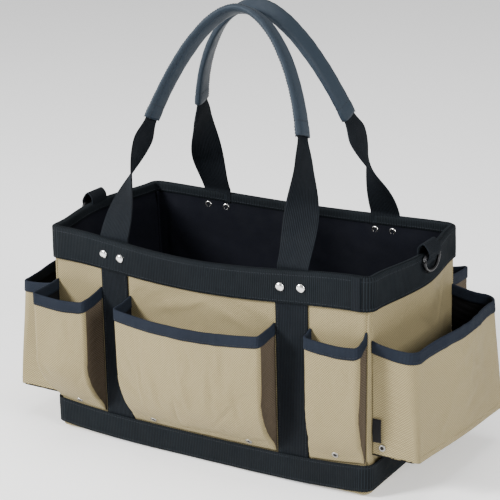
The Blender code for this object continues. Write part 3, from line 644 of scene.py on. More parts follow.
NICKEL = MetalFinish("nickel", (0.86, 0.85, 0.83), (0.62, 0.61, 0.58), 0.22)
# A darker copy of the nickel, for the eyelets: painted shade on the metal, with patches of wear.
SHADED_NICKEL = MetalFinish("worn_nickel", (0.42, 0.41, 0.39), (0.24, 0.23, 0.21), 0.28)
# Near-black discs in the eyelets' holes: painted shadow inside the holes.
HOLE_PAINTED_SHADOW = PlainFinish("dark_hollow", (0.006, 0.005, 0.004), (0.004, 0.003, 0.003), 1.0)
DARK_METAL = MetalFinish("dark_nickel", (0.020, 0.020, 0.023), (0.055, 0.055, 0.055), 0.36)
DARK_THREAD = PlainFinish("dark_thread", (0.013, 0.017, 0.025), (0.005, 0.007, 0.011), 0.9)
CANVAS_THREAD = PlainFinish("canvas_thread", (0.34, 0.285, 0.155), (0.24, 0.20, 0.10), 0.9)
BOARD = PlainFinish("stiff_board", (0.06, 0.06, 0.06), (0.04, 0.04, 0.04), 0.6, 200.0)
FLOOR = PlainFinish("pale_floor", (0.94, 0.94, 0.94), (0.93, 0.93, 0.93), 0.9, 3.0, 0.35)


class Wardrobe:
    """Every finish of the bag, made once."""

    def __init__(self) -> None:
        """Build each material and keep it by its finish."""
        finishes = (CANVAS, GUSSET_PAINTED_SHADE, BACKING, WEBBING, BAND_WEBBING, TAPE, SLEEVE, LINING,
                    LABEL, NICKEL, SHADED_NICKEL, HOLE_PAINTED_SHADOW, DARK_METAL, DARK_THREAD,
                    CANVAS_THREAD, BOARD, FLOOR)
        self.made = {finish.name: finish.build() for finish in finishes}

    def __getitem__(self, finish: object) -> Material:
        """The material of a finish."""
        return self.made[finish.name]


# ---- Geometry Nodes ------------------------------------------------------------------
class NodeTree:
    """A geometry node group under construction."""

    def __init__(self, name: str, inputs: dict[str, tuple[str, float]]) -> None:
        """Start a group with a geometry input and output and the named inputs.

        Args:
            name: Name of the group.
            inputs: Each input's type and first value.
        """
        self.group = bpy.data.node_groups.new(name, "GeometryNodeTree")
        face = self.group.interface
        face.new_socket("Geometry", in_out="INPUT", socket_type="NodeSocketGeometry")
        for label, (kind, value) in inputs.items():
            socket = face.new_socket(label, in_out="INPUT", socket_type=kind)
            if value is not None:
                socket.default_value = value
        face.new_socket("Geometry", in_out="OUTPUT", socket_type="NodeSocketGeometry")
        self.source = self.group.nodes.new("NodeGroupInput")
        self.result = self.group.nodes.new("NodeGroupOutput")

    def node(self, kind: str, links: dict[object, object] | None = None,
             **settings: object) -> bpy.types.Node:
        """Add a node, set its properties and fill or link its inputs.

        Args:
            kind: Type of the node.
            links: Values or sockets for its inputs.
            **settings: Its properties.

        Returns:
            The node.
        """
        made = self.group.nodes.new(kind)
        for key, value in settings.items():
            setattr(made, key, value)
        for key, value in (links or {}).items():
            if isinstance(value, Socket):
                self.group.links.new(value, made.inputs[key])
            else:
                made.inputs[key].default_value = value
        return made

    def close(self, geometry: Socket) -> Tree:
        """Realize the instances, set the material and end the tree.

        Args:
            geometry: The finished geometry.

        Returns:
            The tree.
        """
        real = self.node("GeometryNodeRealizeInstances", {0: geometry})
        dressed = self.node("GeometryNodeSetMaterial",
                            {0: real.outputs[0], "Material": self.source.outputs["Material"]})
        self.group.links.new(dressed.outputs[0], self.result.inputs[0])
        return self.group


def stitch_tree() -> Tree:
    """Stitches laid along every edge path of a mesh.

    Returns:
        The tree, with inputs Pitch, Length, Radius and Material.
    """
    made = NodeTree("stitches", {"Pitch": ("NodeSocketFloat", 0.0035),
                                 "Length": ("NodeSocketFloat", 0.0026),
                                 "Radius": ("NodeSocketFloat", 0.0004),
                                 "Material": ("NodeSocketMaterial", None)})
    source = made.source.outputs
    path = made.node("GeometryNodeMeshToCurve", {0: source["Geometry"]})
    even = made.node("GeometryNodeResampleCurve", {0: path.outputs[0], "Length": source["Pitch"]},
                     mode="LENGTH")
    tangent = made.node("GeometryNodeInputTangent")
    turn = made.node("FunctionNodeAlignRotationToVector", {"Vector": tangent.outputs[0]}, axis="X")
    half = made.node("ShaderNodeMath", {0: source["Length"], 1: 0.5}, operation="MULTIPLY")
    size = made.node("ShaderNodeCombineXYZ", {0: half.outputs[0], 1: source["Radius"],
                                              2: source["Radius"]})
    bead = made.node("GeometryNodeMeshUVSphere", {"Segments": 6, "Rings": 5, "Radius": 1.0})
    thread = made.node("GeometryNodeTransform", {0: bead.outputs[0], "Scale": size.outputs[0]})
    laid = made.node("GeometryNodeInstanceOnPoints",
                     {0: even.outputs[0], "Instance": thread.outputs[0],
                      "Rotation": turn.outputs[0]})
    return made.close(laid.outputs[0])


def fitting_tree() -> Tree:
    """A metal fitting set on every point, turned the way the point faces.

    Returns:
        The tree, with inputs Fitting and Material.
    """
    made = NodeTree("fittings", {"Fitting": ("NodeSocketObject", None),
                                 "Material": ("NodeSocketMaterial", None)})
    source = made.source.outputs
    shape = made.node("GeometryNodeObjectInfo", {0: source["Fitting"]})
    facing = made.node("GeometryNodeInputNamedAttribute", {0: FACING_NAME},
                       data_type="FLOAT_VECTOR")
    turn = made.node("FunctionNodeAlignRotationToVector", {"Vector": facing.outputs[0]}, axis="Z")
    points = made.node("GeometryNodeMeshToPoints", {0: source["Geometry"]})
    laid = made.node("GeometryNodeInstanceOnPoints",
                     {0: points.outputs[0], "Instance": shape.outputs["Geometry"],
                      "Rotation": turn.outputs[0]})
    return made.close(laid.outputs[0])


def rib_tree() -> Tree:
    """Ribs pushed out of a webbing surface along its own run.

    Returns:
        The tree, with inputs Pitch, Depth and Material.
    """
    made = NodeTree("ribs", {"Pitch": ("NodeSocketFloat", 0.002),
                             "Depth": ("NodeSocketFloat", 0.00015),
                             "Material": ("NodeSocketMaterial", None)})
    source = made.source.outputs
    run = made.node("GeometryNodeInputNamedAttribute", {0: RIB_NAME}, data_type="FLOAT")
    turns = made.node("ShaderNodeMath", {0: run.outputs[0], 1: source["Pitch"]},
                      operation="DIVIDE")
    angle = made.node("ShaderNodeMath", {0: turns.outputs[0], 1: 2 * math.pi},
                      operation="MULTIPLY")
    wave = made.node("ShaderNodeMath", {0: angle.outputs[0]}, operation="SINE")
    lift = made.node("ShaderNodeMath", {0: wave.outputs[0], 1: source["Depth"]},
                     operation="MULTIPLY")
    normal = made.node("GeometryNodeInputNormal")
    push = made.node("ShaderNodeVectorMath", {0: normal.outputs[0], "Scale": lift.outputs[0]},
                     operation="SCALE")
    moved = made.node("GeometryNodeSetPosition", {0: source["Geometry"],
                                                  "Offset": push.outputs[0]})
    return made.close(moved.outputs[0])


def run_tree(piece: Piece, tree: Tree,
             values: dict[str, object]) -> Piece:
    """Evaluate a tree on a piece and keep the plain mesh.

    Args:
        piece: The object that carries the input mesh.
        tree: The node group.
        values: Its named inputs.

    Returns:
        The same object with its new mesh.
    """
    modifier = piece.modifiers.new(tree.name, "NODES")
    modifier.node_group = tree
    for item in tree.interface.items_tree:
        if item.item_type == "SOCKET" and item.in_out == "INPUT" and item.name in values:
            modifier[item.identifier] = values[item.name]
    return settle(piece)


def ribbed_piece(name: str, mesh: Mesh, finish: Material,
                 ribs: Tree, pitch: float, depth: float) -> Piece:
    """A piece of webbing with its ribs pushed out.

    Args:
        name: Name of the piece.
        mesh: Smooth webbing with its ribs' run.
        finish: Its material.
        ribs: The rib tree.
        pitch: Spacing of the ribs.
        depth: Their height.

    Returns:
        The piece.
    """
    return run_tree(add_piece(name, mesh, finish), ribs,
                    {"Pitch": pitch, "Depth": depth, "Material": finish})


# ---- The bag's surface ---------------------------------------------------------------
@dataclass(frozen=True)
class BodyShape:
    """The bowed, round-cornered surface that every layer follows."""

    half_length: float = 0.205
    half_depth: float = 0.1065
    height: float = 0.250
    corner: float = 0.009
    flare_size: float = 0.006
    long_bow: float = 0.014
    end_bow: float = 0.014
    rim_sag: float = 0.008
    foot_sag_size: float = 0.006
    base_lip: float = 0.008

    def half_span(self, side: int) -> float:
        """Half the outside width of a wall."""
        return self.half_length if side % 2 == 0 else self.half_depth

    def flat(self, side: int) -> float:
        """Half the width of a wall without its round corners."""
        return self.half_span(side) - self.corner

    def swell(self, side: int, along: Array) -> Array:
        """1 in the middle of a wall, easing to 0 at its corners."""
        share = np.minimum(1.0, np.abs(along) / self.flat(side))
        return (1 - share * share) ** 2

    def bow(self, side: int, along: Array, height: Array) -> Array:
        """How far a wall stands out of its flat plane."""
        full = self.long_bow if side % 2 == 0 else self.end_bow
        return full * self.swell(side, along) * height / self.height

    def sagged(self, side: int, along: Array, height: Array) -> Array:
        """A height with the rim's sag, which fades out towards the ground.

        Args:
            side: The wall.
            along: Place along the wall.
            height: Height above the ground.

        Returns:
            The sagged height.
        """
        if side % 2:
            return height + 0 * along
        share = np.maximum(0.0, height - self.base_lip) / (self.height - self.base_lip)
        return height - self.rim_sag * self.swell(side, along) * share * share

    def foot_sag(self, side: int, along: Array) -> Array:
        """How far the foot band and the pockets' lower edges hang under a long wall."""
        share = np.minimum(1.0, np.abs(along) / self.flat(side))
        return (self.foot_sag_size if side % 2 == 0 else 0.0) * (1 - share ** 4)

    def flare(self, side: int, height: Array) -> Array:
        """How much further out a wall stands at this height than at the rim."""
        return (self.flare_size if side % 2 == 0 else 0.0) * (1 - height / self.height)

    def corner_place(self, side: int, height: Array) -> tuple[Array, Array]:
        """Across and away coordinates of a corner's centre.

        Args:
            side: The wall.
            height: Height above the ground.

        Returns:
            The two coordinates.
        """
        across = self.flat(side) + self.flare(side + 1, height)
        away = self.half_span(side + 1) - self.corner + self.flare(side, height)
        return across, away

    def point(self, side: int, along: Array, height: Array,
              out: Array = 0.0) -> Array:
        """Points on a wall, whose arc length may run on round the corner.

        Args:
            side: The wall.
            along: Arc length from the wall's middle.
            height: Height before the rim's sag.
            out: Distance outside the canvas.

        Returns:
            The points, with three numbers each.
        """
        along, height, out = np.broadcast_arrays(along, height, out)
        centre_across, centre_away = self.corner_place(side, height)
        radius = self.corner + out
        inside = np.abs(along) <= self.flat(side)
        turn = np.maximum(0.0, np.abs(along) - self.flat(side)) / self.corner
        across = np.where(inside, along * centre_across / self.flat(side),
                          np.sign(along) * (centre_across + radius * np.sin(turn)))
        away = np.where(inside, centre_away + radius + self.bow(side, along, height),
                        centre_away + radius * np.cos(turn))
        flat = across[..., None] * TANGENTS[side] + away[..., None] * NORMALS[side]
        return np.concatenate([flat, self.sagged(side, along, height)[..., None]], -1)

    def wall_away(self, side: int, across: float, height: Array) -> Array:
        """Bag's middle to the canvas, at a place across the wall.

        Args:
            side: The wall.
            across: Place across the wall.
            height: Height above the ground.

        Returns:
            The distance.
        """
        centre_across, centre_away = self.corner_place(side, height)
        along = across * self.flat(side) / centre_across
        dip = np.clip(np.abs(across) - centre_across, 0.0, self.corner)
        straight = centre_away + self.corner + self.bow(side, along, height)
        rounded = centre_away + np.sqrt(self.corner ** 2 - dip ** 2)
        return np.where(np.abs(across) <= centre_across, straight, rounded)

    def loop(self, step: float) -> tuple[Array, Array, Array]:
        """Stations right round the bag.

        Args:
            step: Spacing along a wall.

        Returns:
            Each station's wall, its place along that wall and its run from the start.
        """
        sides, places, runs, start = [], [], [], 0.0
        for side in Side:
            flat = self.flat(side)
            quarter = self.corner * math.pi / 2
            count = max(8, round(2 * flat / step))
            turns = max(4, round(quarter / step))
            along = np.concatenate([np.linspace(-flat, flat, count, endpoint=False),
                                    np.linspace(flat, flat + quarter, turns, endpoint=False)])
            sides.append(np.full(len(along), int(side)))
            places.append(along)
            runs.append(start + along + flat)
            start += 2 * flat + quarter
        return np.concatenate(sides), np.concatenate(places), np.concatenate(runs)

    def loop_grid(self, sides: Array, along: Array, height: Array,
                  out: Array) -> Array:
        """Points for rows of stations right round the bag, shaped (rows, stations, 3).

        Args:
            sides: Wall of each station.
            along: Its place along that wall.
            height: Heights, shaped (rows, stations).
            out: Distances outside the canvas.

        Returns:
            The points.
        """
        grid = np.empty((*height.shape, 3))
        for side in Side:
            here = sides == side
            grid[:, here] = self.point(side, along[here][None], height[:, here], out[:, here])
        return grid

    def ring(self, sides: Array, along: Array, height: float,
             out: Array | float) -> Array:
        """One row of points right round the bag, at one height.

        Args:
            sides: Wall of each station.
            along: Its place along that wall.
            height: Height above the ground.
            out: Distance outside the canvas.

        Returns:
            The points.
        """
        full = np.full((1, len(along)), height)
        return self.loop_grid(sides, along, full, full * 0 + out)[0]

    def loop_sag(self, sides: Array, along: Array) -> Array:
        """The foot's sag at stations right round the bag."""
        return sum(np.where(sides == side, self.foot_sag(side, along), 0.0) for side in Side)


@dataclass(frozen=True)
class Layers:
    """Distances of the layers from the canvas's outer face, and the strips' sizes."""

    gap: float = 0.3 * MM
    canvas: float = 1.5 * MM
    webbing: float = 2.0 * MM
    band: float = 1.6 * MM
    lining_face: float = -5.8 * MM       # the lining's inner face
    band_out: float = 2.6 * MM           # the band's back, over the straps
    band_inner: float = -6.1 * MM        # back of the leg folded to the inside
    top_band: float = 38.0 * MM
    top_band_inner: float = 12.0 * MM
    foot_band_top: float = 38.5 * MM
    board_top: float = 218.0 * MM        # above it the layers lie on each other
    pinch: float = 3.2 * MM              # how much thinner the wall is at the rim
    pinched_top: float = 0.242           # above it the wall is as thin as it gets
    strap_width: float = 38.0 * MM
    strap_place: float = 115.0 * MM

    def lean(self, height: Array) -> Array:
        """How far the inner layers come outwards above the boards."""
        return self.pinch * ease((height - self.board_top)
                                 / (self.pinched_top - self.board_top))


SHAPE = BodyShape()
LAYERS = Layers()


class StitchBook:
    """Collects seam paths, and lays their stitches for one body and thread."""

    def __init__(self, name: str, body: str, thread: PlainFinish, slot: str) -> None:
        """Start an empty book."""
        self.name, self.body, self.thread, self.slot = name, body, thread, slot
        self.paths: list[tuple[Array, bool]] = []

    def add(self, points: Array, closed: bool = False) -> None:
        """Add one seam."""
        self.paths.append((np.asarray(points), closed))

    def sew(self, tree: Tree, wardrobe: Wardrobe) -> Piece:
        """Lay the stitches of every seam.

        Args:
            tree: The stitch tree.
            wardrobe: The finishes.

        Returns:
            The piece of thread.
        """
        verts, edges = [], []
        for points, closed in self.paths:
            first = len(verts)
            verts += points.tolist()
            count = len(points)
            edges += [(first + i, first + i + 1) for i in range(count - 1)]
            if closed:
                edges.append((first + count - 1, first))
        mesh = bpy.data.meshes.new(self.name)
        mesh.from_pydata(verts, edges, [])
        piece = add_piece(self.name, mesh, wardrobe[self.thread])
        run_tree(piece, tree, {"Pitch": STITCH_PITCH, "Length": STITCH_LENGTH,
                               "Radius": STITCH_RADIUS,
                               "Material": wardrobe[self.thread]})
        piece.data.shade_smooth()
        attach(piece, self.body)
        LOG.info("%s: %d seams, %d faces", self.name, len(self.paths), len(piece.data.polygons))
        return piece


@dataclass(frozen=True)
class Slack:
    """Cloth simulation that lets sewn sheets sag between their seams."""

    frames: int = 16
    growth: float = 0.006            # how much larger the cloth is than its outline
    reach: float = 3.5 * MM          # furthest that a point may move

    def relax(self, sheets: list[Piece]) -> None:
        """Simulate the sheets together and keep the result.

        Args:
            sheets: Sheets that have a vertex group of their sewn points.
        """
        before = [points_of(sheet.data) for sheet in sheets]
        for sheet in sheets:
            self.add_cloth(sheet)
        scene = bpy.context.scene
        for step in range(1, self.frames + 1):
            scene.frame_set(step)
        graph = bpy.context.evaluated_depsgraph_get()
        settled = [points_of(sheet.evaluated_get(graph).data) for sheet in sheets]
        for sheet, old, new in zip(sheets, before, settled):
            sheet.modifiers.clear()
            move = new - old
            length = np.linalg.norm(move, axis=1)[:, None]
            capped = move * (self.reach * np.tanh(length / self.reach)
                             / np.maximum(length, 1e-9))
            sheet.data.vertices.foreach_set("co", (old + capped).ravel())
            sheet.data.update()
            LOG.info("%s: cloth moved up to %.1f mm", sheet.name, length.max() / MM)
        scene.frame_set(1)

    def add_cloth(self, sheet: Piece) -> None:
        """Give a sheet the cloth modifier of stiff canvas.

        Args:
            sheet: The sheet.
        """
        cloth = sheet.modifiers.new("cloth", "CLOTH")
        canvas = cloth.settings
        canvas.vertex_group_mass = SEWN_NAME
        canvas.quality = 6
        canvas.mass = 0.002
        canvas.tension_stiffness = canvas.compression_stiffness = 12.0
        canvas.shear_stiffness = 6.0
        canvas.bending_stiffness = 0.6
        canvas.shrink_min = -self.growth
        cloth.collision_settings.use_collision = False
        cloth.point_cache.frame_end = self.frames


def dress(piece: Piece, body: str, slot: str, *nodes: str) -> Piece:
    """Put a piece on its body and hide the solids that it stands for.

    Args:
        piece: The piece.
        body: The body that it rides on.
        slot: Its finish slot; not used.
        *nodes: The solids that it stands for.

    Returns:
        The piece.
    """
    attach(piece, body)
    if nodes:
        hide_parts(*nodes)
    LOG.info("%s: %d faces", piece.name, len(piece.data.polygons))
    return piece


# ---- Body ----------------------------------------------------------------------------
@dataclass
class Shell:
    """Canvas walls, base, lining and the stiff sheets between them."""

    wardrobe: Wardrobe
    seams: StitchBook
    step: float = 3.0 * MM
    fine: float = 2.0 * MM
    wrinkle: float = 1.2 * MM
    crease: float = 2.4 * MM
    long_folds: int = 46             # soft folds in a long wall
    end_folds: int = 26
    seam_ridge: float = 1.7 * MM
    base_edge: float = 2.2 * MM
    base_floor: float = 2.3 * MM
    lining_floor: float = 8.6 * MM

    def build(self) -> None:
        """Make every piece of the shell."""
        for side in Side:
            self.wall(side)
        self.base()
        self.lining()
        self.corner_seams()
        for side in Side:
            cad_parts[f"{side.label}_wall_board"].data.materials[0] = self.wardrobe[BOARD]
        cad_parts["base_board"].data.materials[0] = self.wardrobe[BOARD]

    def wall(self, side: Side) -> None:
        """One canvas wall, with soft puckers below the band and beside the straps.

        Args:
            side: The wall.
        """
        reach = SHAPE.flat(side) + SHAPE.corner * math.pi / 4 - 0.6 * MM
        along = np.linspace(-reach, reach, round(2 * reach / self.fine))
        levels = np.linspace(SHAPE.base_lip + LAYERS.gap, SHAPE.height - 2 * MM, 120)
        u, v = np.meshgrid(along, levels)
        free = ease((SHAPE.height - LAYERS.top_band - v) / 0.02) * ease((v - 0.04) / 0.03)
        free *= ease((reach - np.abs(u)) / 0.02)
        if side % 2 == 0:
            strap = LAYERS.strap_width / 2 + 1 * MM
            free *= ease((np.abs(np.abs(u) - LAYERS.strap_place) - strap) / 0.012)
        lift = ripple(u, v * 0.7, 0.085, 11 + side)
        count = self.end_folds if side % 2 else self.long_folds
        folds = creases(u, v, 31 + side, count, 0.8, self.crease)
        out = free * (self.wrinkle * lift + folds)
        if side % 2 == 0:
            out += self.sag_folds(u, v, free)
        grid = SHAPE.point(side, u, v, np.maximum(out, -0.7 * MM))
        kind = "end_panel" if side % 2 else "panel"
        name = f"{side.label}_{kind}"
        mesh = grid_mesh(name + "_cloth", grid, np.stack([u, v], -1))
        piece = thicken(add_piece(name + "_cloth", mesh, self.wardrobe[CANVAS]), LAYERS.canvas)
        dress(piece, "bag", "canvas", name)

    def sag_folds(self, u: Array, v: Array, free: Array) -> Array:
        """Slanting folds where the rim sags over the middle of a long wall.

        Args:
            u: Places along the wall.
            v: Heights.
            free: Where the cloth is free to fold.

        Returns:
            Distances out.
        """
        high = ease((v - 0.165) / 0.03)
        slant = np.abs(u) * 0.55 + v
        waves = np.sin(2 * math.pi * slant / 0.034 + 1.2)
        return free * high * 1.3 * MM * waves * ease(1 - np.abs(np.abs(u) - 0.05) / 0.06)

    def base(self) -> None:
        """The canvas base, turned up round its edge."""
        sides, along, run = SHAPE.loop(4 * MM)
        profile = [(SHAPE.base_lip, 0.0), (self.base_floor + self.base_edge, 0.0)]
        for turn in np.linspace(0.0, math.pi / 2, 6)[1:]:
            profile.append((self.base_floor + self.base_edge * (1 - math.sin(turn)),
                            -self.base_edge * (1 - math.cos(turn))))
        rows = []
        for height, out in profile:
            rows.append(SHAPE.ring(sides, along, height, out))
        for share in (0.97, 0.9, 0.7, 0.4, 0.1):
            rows.append(rows[len(profile) - 1] * (share, share, 1))
        grid = np.array(rows)[:, ::-1]
        depth = run_lengths(grid[:, 0])
        uv = cloth_map(-np.append(run[::-1], run[-1] + 0.004), depth)
        mesh = grid_mesh("base_panel_cloth", grid, uv, wrap=True)
        fill_end(mesh, grid.shape[1])
        piece = thicken(add_piece(mesh.name, mesh, self.wardrobe[CANVAS]), LAYERS.canvas)
        dress(piece, "bag", "canvas", "base_panel")

    def lining(self) -> None:
        """The inner bag, a little slack between its seams."""
        sides, along, run = SHAPE.loop(self.step)
        levels = np.linspace(SHAPE.height - 2 * MM, self.lining_floor, 70)
        v, u = np.meshgrid(levels, run, indexing="ij")
        free = ease((SHAPE.height - 0.014 - v) / 0.03) * ease((v - self.lining_floor) / 0.02)
        corner = np.abs(along) > np.array([SHAPE.flat(s) - 0.012 for s in sides])
        slack = ripple(u, v * 0.6, 0.06, 71) + 0.6 * ripple(u, v, 0.024, 72)
        out = (LAYERS.lining_face + LAYERS.lean(v)
               - 1.1 * MM * free * np.where(corner, 0.0, 1.0 + slack) * 0.7)
        rows = list(SHAPE.loop_grid(sides, along, v, out))
        for share in (0.95, 0.85, 0.65, 0.35, 0.08):
            rows.append(rows[len(levels) - 1] * (share, share, 1))
        grid = np.array(rows)[:, ::-1]
        depth = run_lengths(grid[:, 0])
        uv = cloth_map(-np.append(run[::-1], -0.004), depth)
        mesh = grid_mesh("lining_cloth", grid[:, ::-1], uv[:, ::-1], wrap=True)
        fill_end(mesh, grid.shape[1])
        piece = thicken(add_piece(mesh.name, mesh, self.wardrobe[LINING]), 1.0 * MM)
        dress(piece, "bag", "lining", "lining")

    def corner_seams(self) -> None:
        """Raised canvas seams up the outer corners, and dark piping up the inner ones."""
        for inner in (False, True):
            pieces = []
            for side in Side:
                low, high = (0.042, 0.214) if not inner else (0.010, 0.238)
                levels = np.linspace(low, high, 60)
                out = LAYERS.lining_face - 0.6 * MM if inner else 0.2 * MM
                seam = SHAPE.flat(side) + SHAPE.corner * math.pi / 4
                line = SHAPE.point(side, seam, levels, out)
                pieces.append(tube_grid(line, self.seam_ridge, 8))
                if not inner:
                    for shift in (-4.5 * MM, 4.5 * MM):
                        self.seams.add(SHAPE.point(side, seam + shift, levels, 0.25 * MM))
            name = "inner_corner_piping" if inner else "corner_seams"
            finish = LINING if inner else CANVAS
            mesh = join_grids(name, pieces)
            dress(add_piece(name, mesh, self.wardrobe[finish]), "bag",
                  "lining" if inner else "canvas")


def fill_end(mesh: Mesh, columns: int) -> None:
    """Close the last row of a wrapped grid with one face.

    Args:
        mesh: The grid, which is changed.
        columns: Points in a row.
    """
    edit = bmesh.new()
    edit.from_mesh(mesh)
    edit.verts.ensure_lookup_table()
    last = edit.verts[:][-columns:]
    edit.faces.new(last)
    bmesh.ops.recalc_face_normals(edit, faces=edit.faces)
    edit.to_mesh(mesh)
    edit.free()
    mesh.shade_smooth()


def tube_grid(line: Array, radius: float, sides: int) -> tuple[Array, Array]:
    """Points and cloth coordinates of a round tube along a line.

    Args:
        line: Middle of the tube.
        radius: Its radius.
        sides: Corners of its section.

    Returns:
        Its points and its cloth coordinates.
    """
    tangent = np.gradient(line, axis=0)
    tangent /= np.linalg.norm(tangent, axis=1)[:, None]
    helper = np.array([0.0, 0.0, 1.0]) if abs(tangent[0][2]) < 0.8 else np.array([1.0, 0.0, 0.0])
    first = np.cross(tangent, helper)
    first /= np.linalg.norm(first, axis=1)[:, None]
    second = np.cross(tangent, first)
    turn = np.linspace(0, 2 * math.pi, sides, endpoint=False)
    ring = (first[:, None] * np.cos(turn)[None, :, None]
            + second[:, None] * np.sin(turn)[None, :, None])
    grid = line[:, None] + ring * radius
    run = run_lengths(line)
    around = np.append(turn, 2 * math.pi) * radius
    uv = cloth_map(around, run)
    return grid, uv


def join_grids(name: str, parts: list[tuple[Array, Array]]) -> Mesh:
    """One mesh of several closed tubes.

    Args:
        name: Name of the piece.
        parts: Points and cloth coordinates of each tube.

    Returns:
        The mesh.
    """
    joined = bmesh.new()
    for index, (grid, uv) in enumerate(parts):
        part = grid_mesh(f"{name}_{index}", grid, uv, wrap=True, caps=True)
        joined.from_mesh(part)
        bpy.data.meshes.remove(part)
    bmesh.ops.recalc_face_normals(joined, faces=joined.faces)
    mesh = bpy.data.meshes.new(name)
    joined.to_mesh(mesh)
    joined.free()
    mesh.shade_smooth()
    return mesh


# ---- Webbing -------------------------------------------------------------------------
def strip_section(width: float, thickness: float, step: float) -> tuple[Array, Array]:
    """Closed section of a flat strip with round edges.

    Args:
        width: Width of the strip.
        thickness: Its thickness.
        step: Spacing of the points across it.

    Returns:
        Places across and out, starting at the lower edge, and the run across the ribs.
    """
    half, thin = width / 2, thickness / 2
    count = max(3, round(width / step))
    flat = np.linspace(-half + thin, half - thin, count)
    turn = np.linspace(-math.pi / 2, math.pi / 2, 6)[1:-1]
    right = np.stack([half - thin + thin * np.cos(turn), -thin * np.sin(turn)], 1)
    left = np.stack([-half + thin - thin * np.cos(turn), thin * np.sin(turn)], 1)
    top = np.stack([flat, np.full(count, thin)], 1)
    bottom = np.stack([flat[::-1], np.full(count, -thin)], 1)
    outline = np.concatenate([top, right, bottom, left])
    return outline, outline[:, 0] + half


def sweep_strip(name: str, centre: Array, across: Array, out: Array,
                widths: Array | float, thickness: float, step: float) -> Mesh:
    """A flat strip swept along a path.

    Args:
        name: Name of the mesh.
        centre: Path of the strip's middle.
        across: Unit width direction, one for all points or one for each.
        out: Unit thickness direction, the same way.
        widths: Width, the same way.
        thickness: Thickness of the strip.
        step: Spacing of the points across it.

    Returns:
        The closed mesh, with its ribs' run stored on its points.
    """
    across, out = (np.broadcast_to(way, centre.shape) for way in (across, out))
    widths = np.broadcast_to(widths, len(centre))
    outline, run = strip_section(1.0, thickness / widths.max(), step / widths.max())
    flat = outline[:, 0][None, :, None] * (across * widths[:, None])[:, None]
    thick = outline[:, 1][None, :, None] * (out * widths.max())[:, None]
    grid = centre[:, None] + flat + thick
    length = run_lengths(centre)
    rib = np.append(run, run[0]) * widths.max()
    uv = cloth_map(rib, length)
    mesh = grid_mesh(name, grid, uv, wrap=True, caps=True)
    store_run(mesh, np.broadcast_to(rib[None, :-1], grid.shape[:2]))
    face_outwards(mesh)
    return mesh


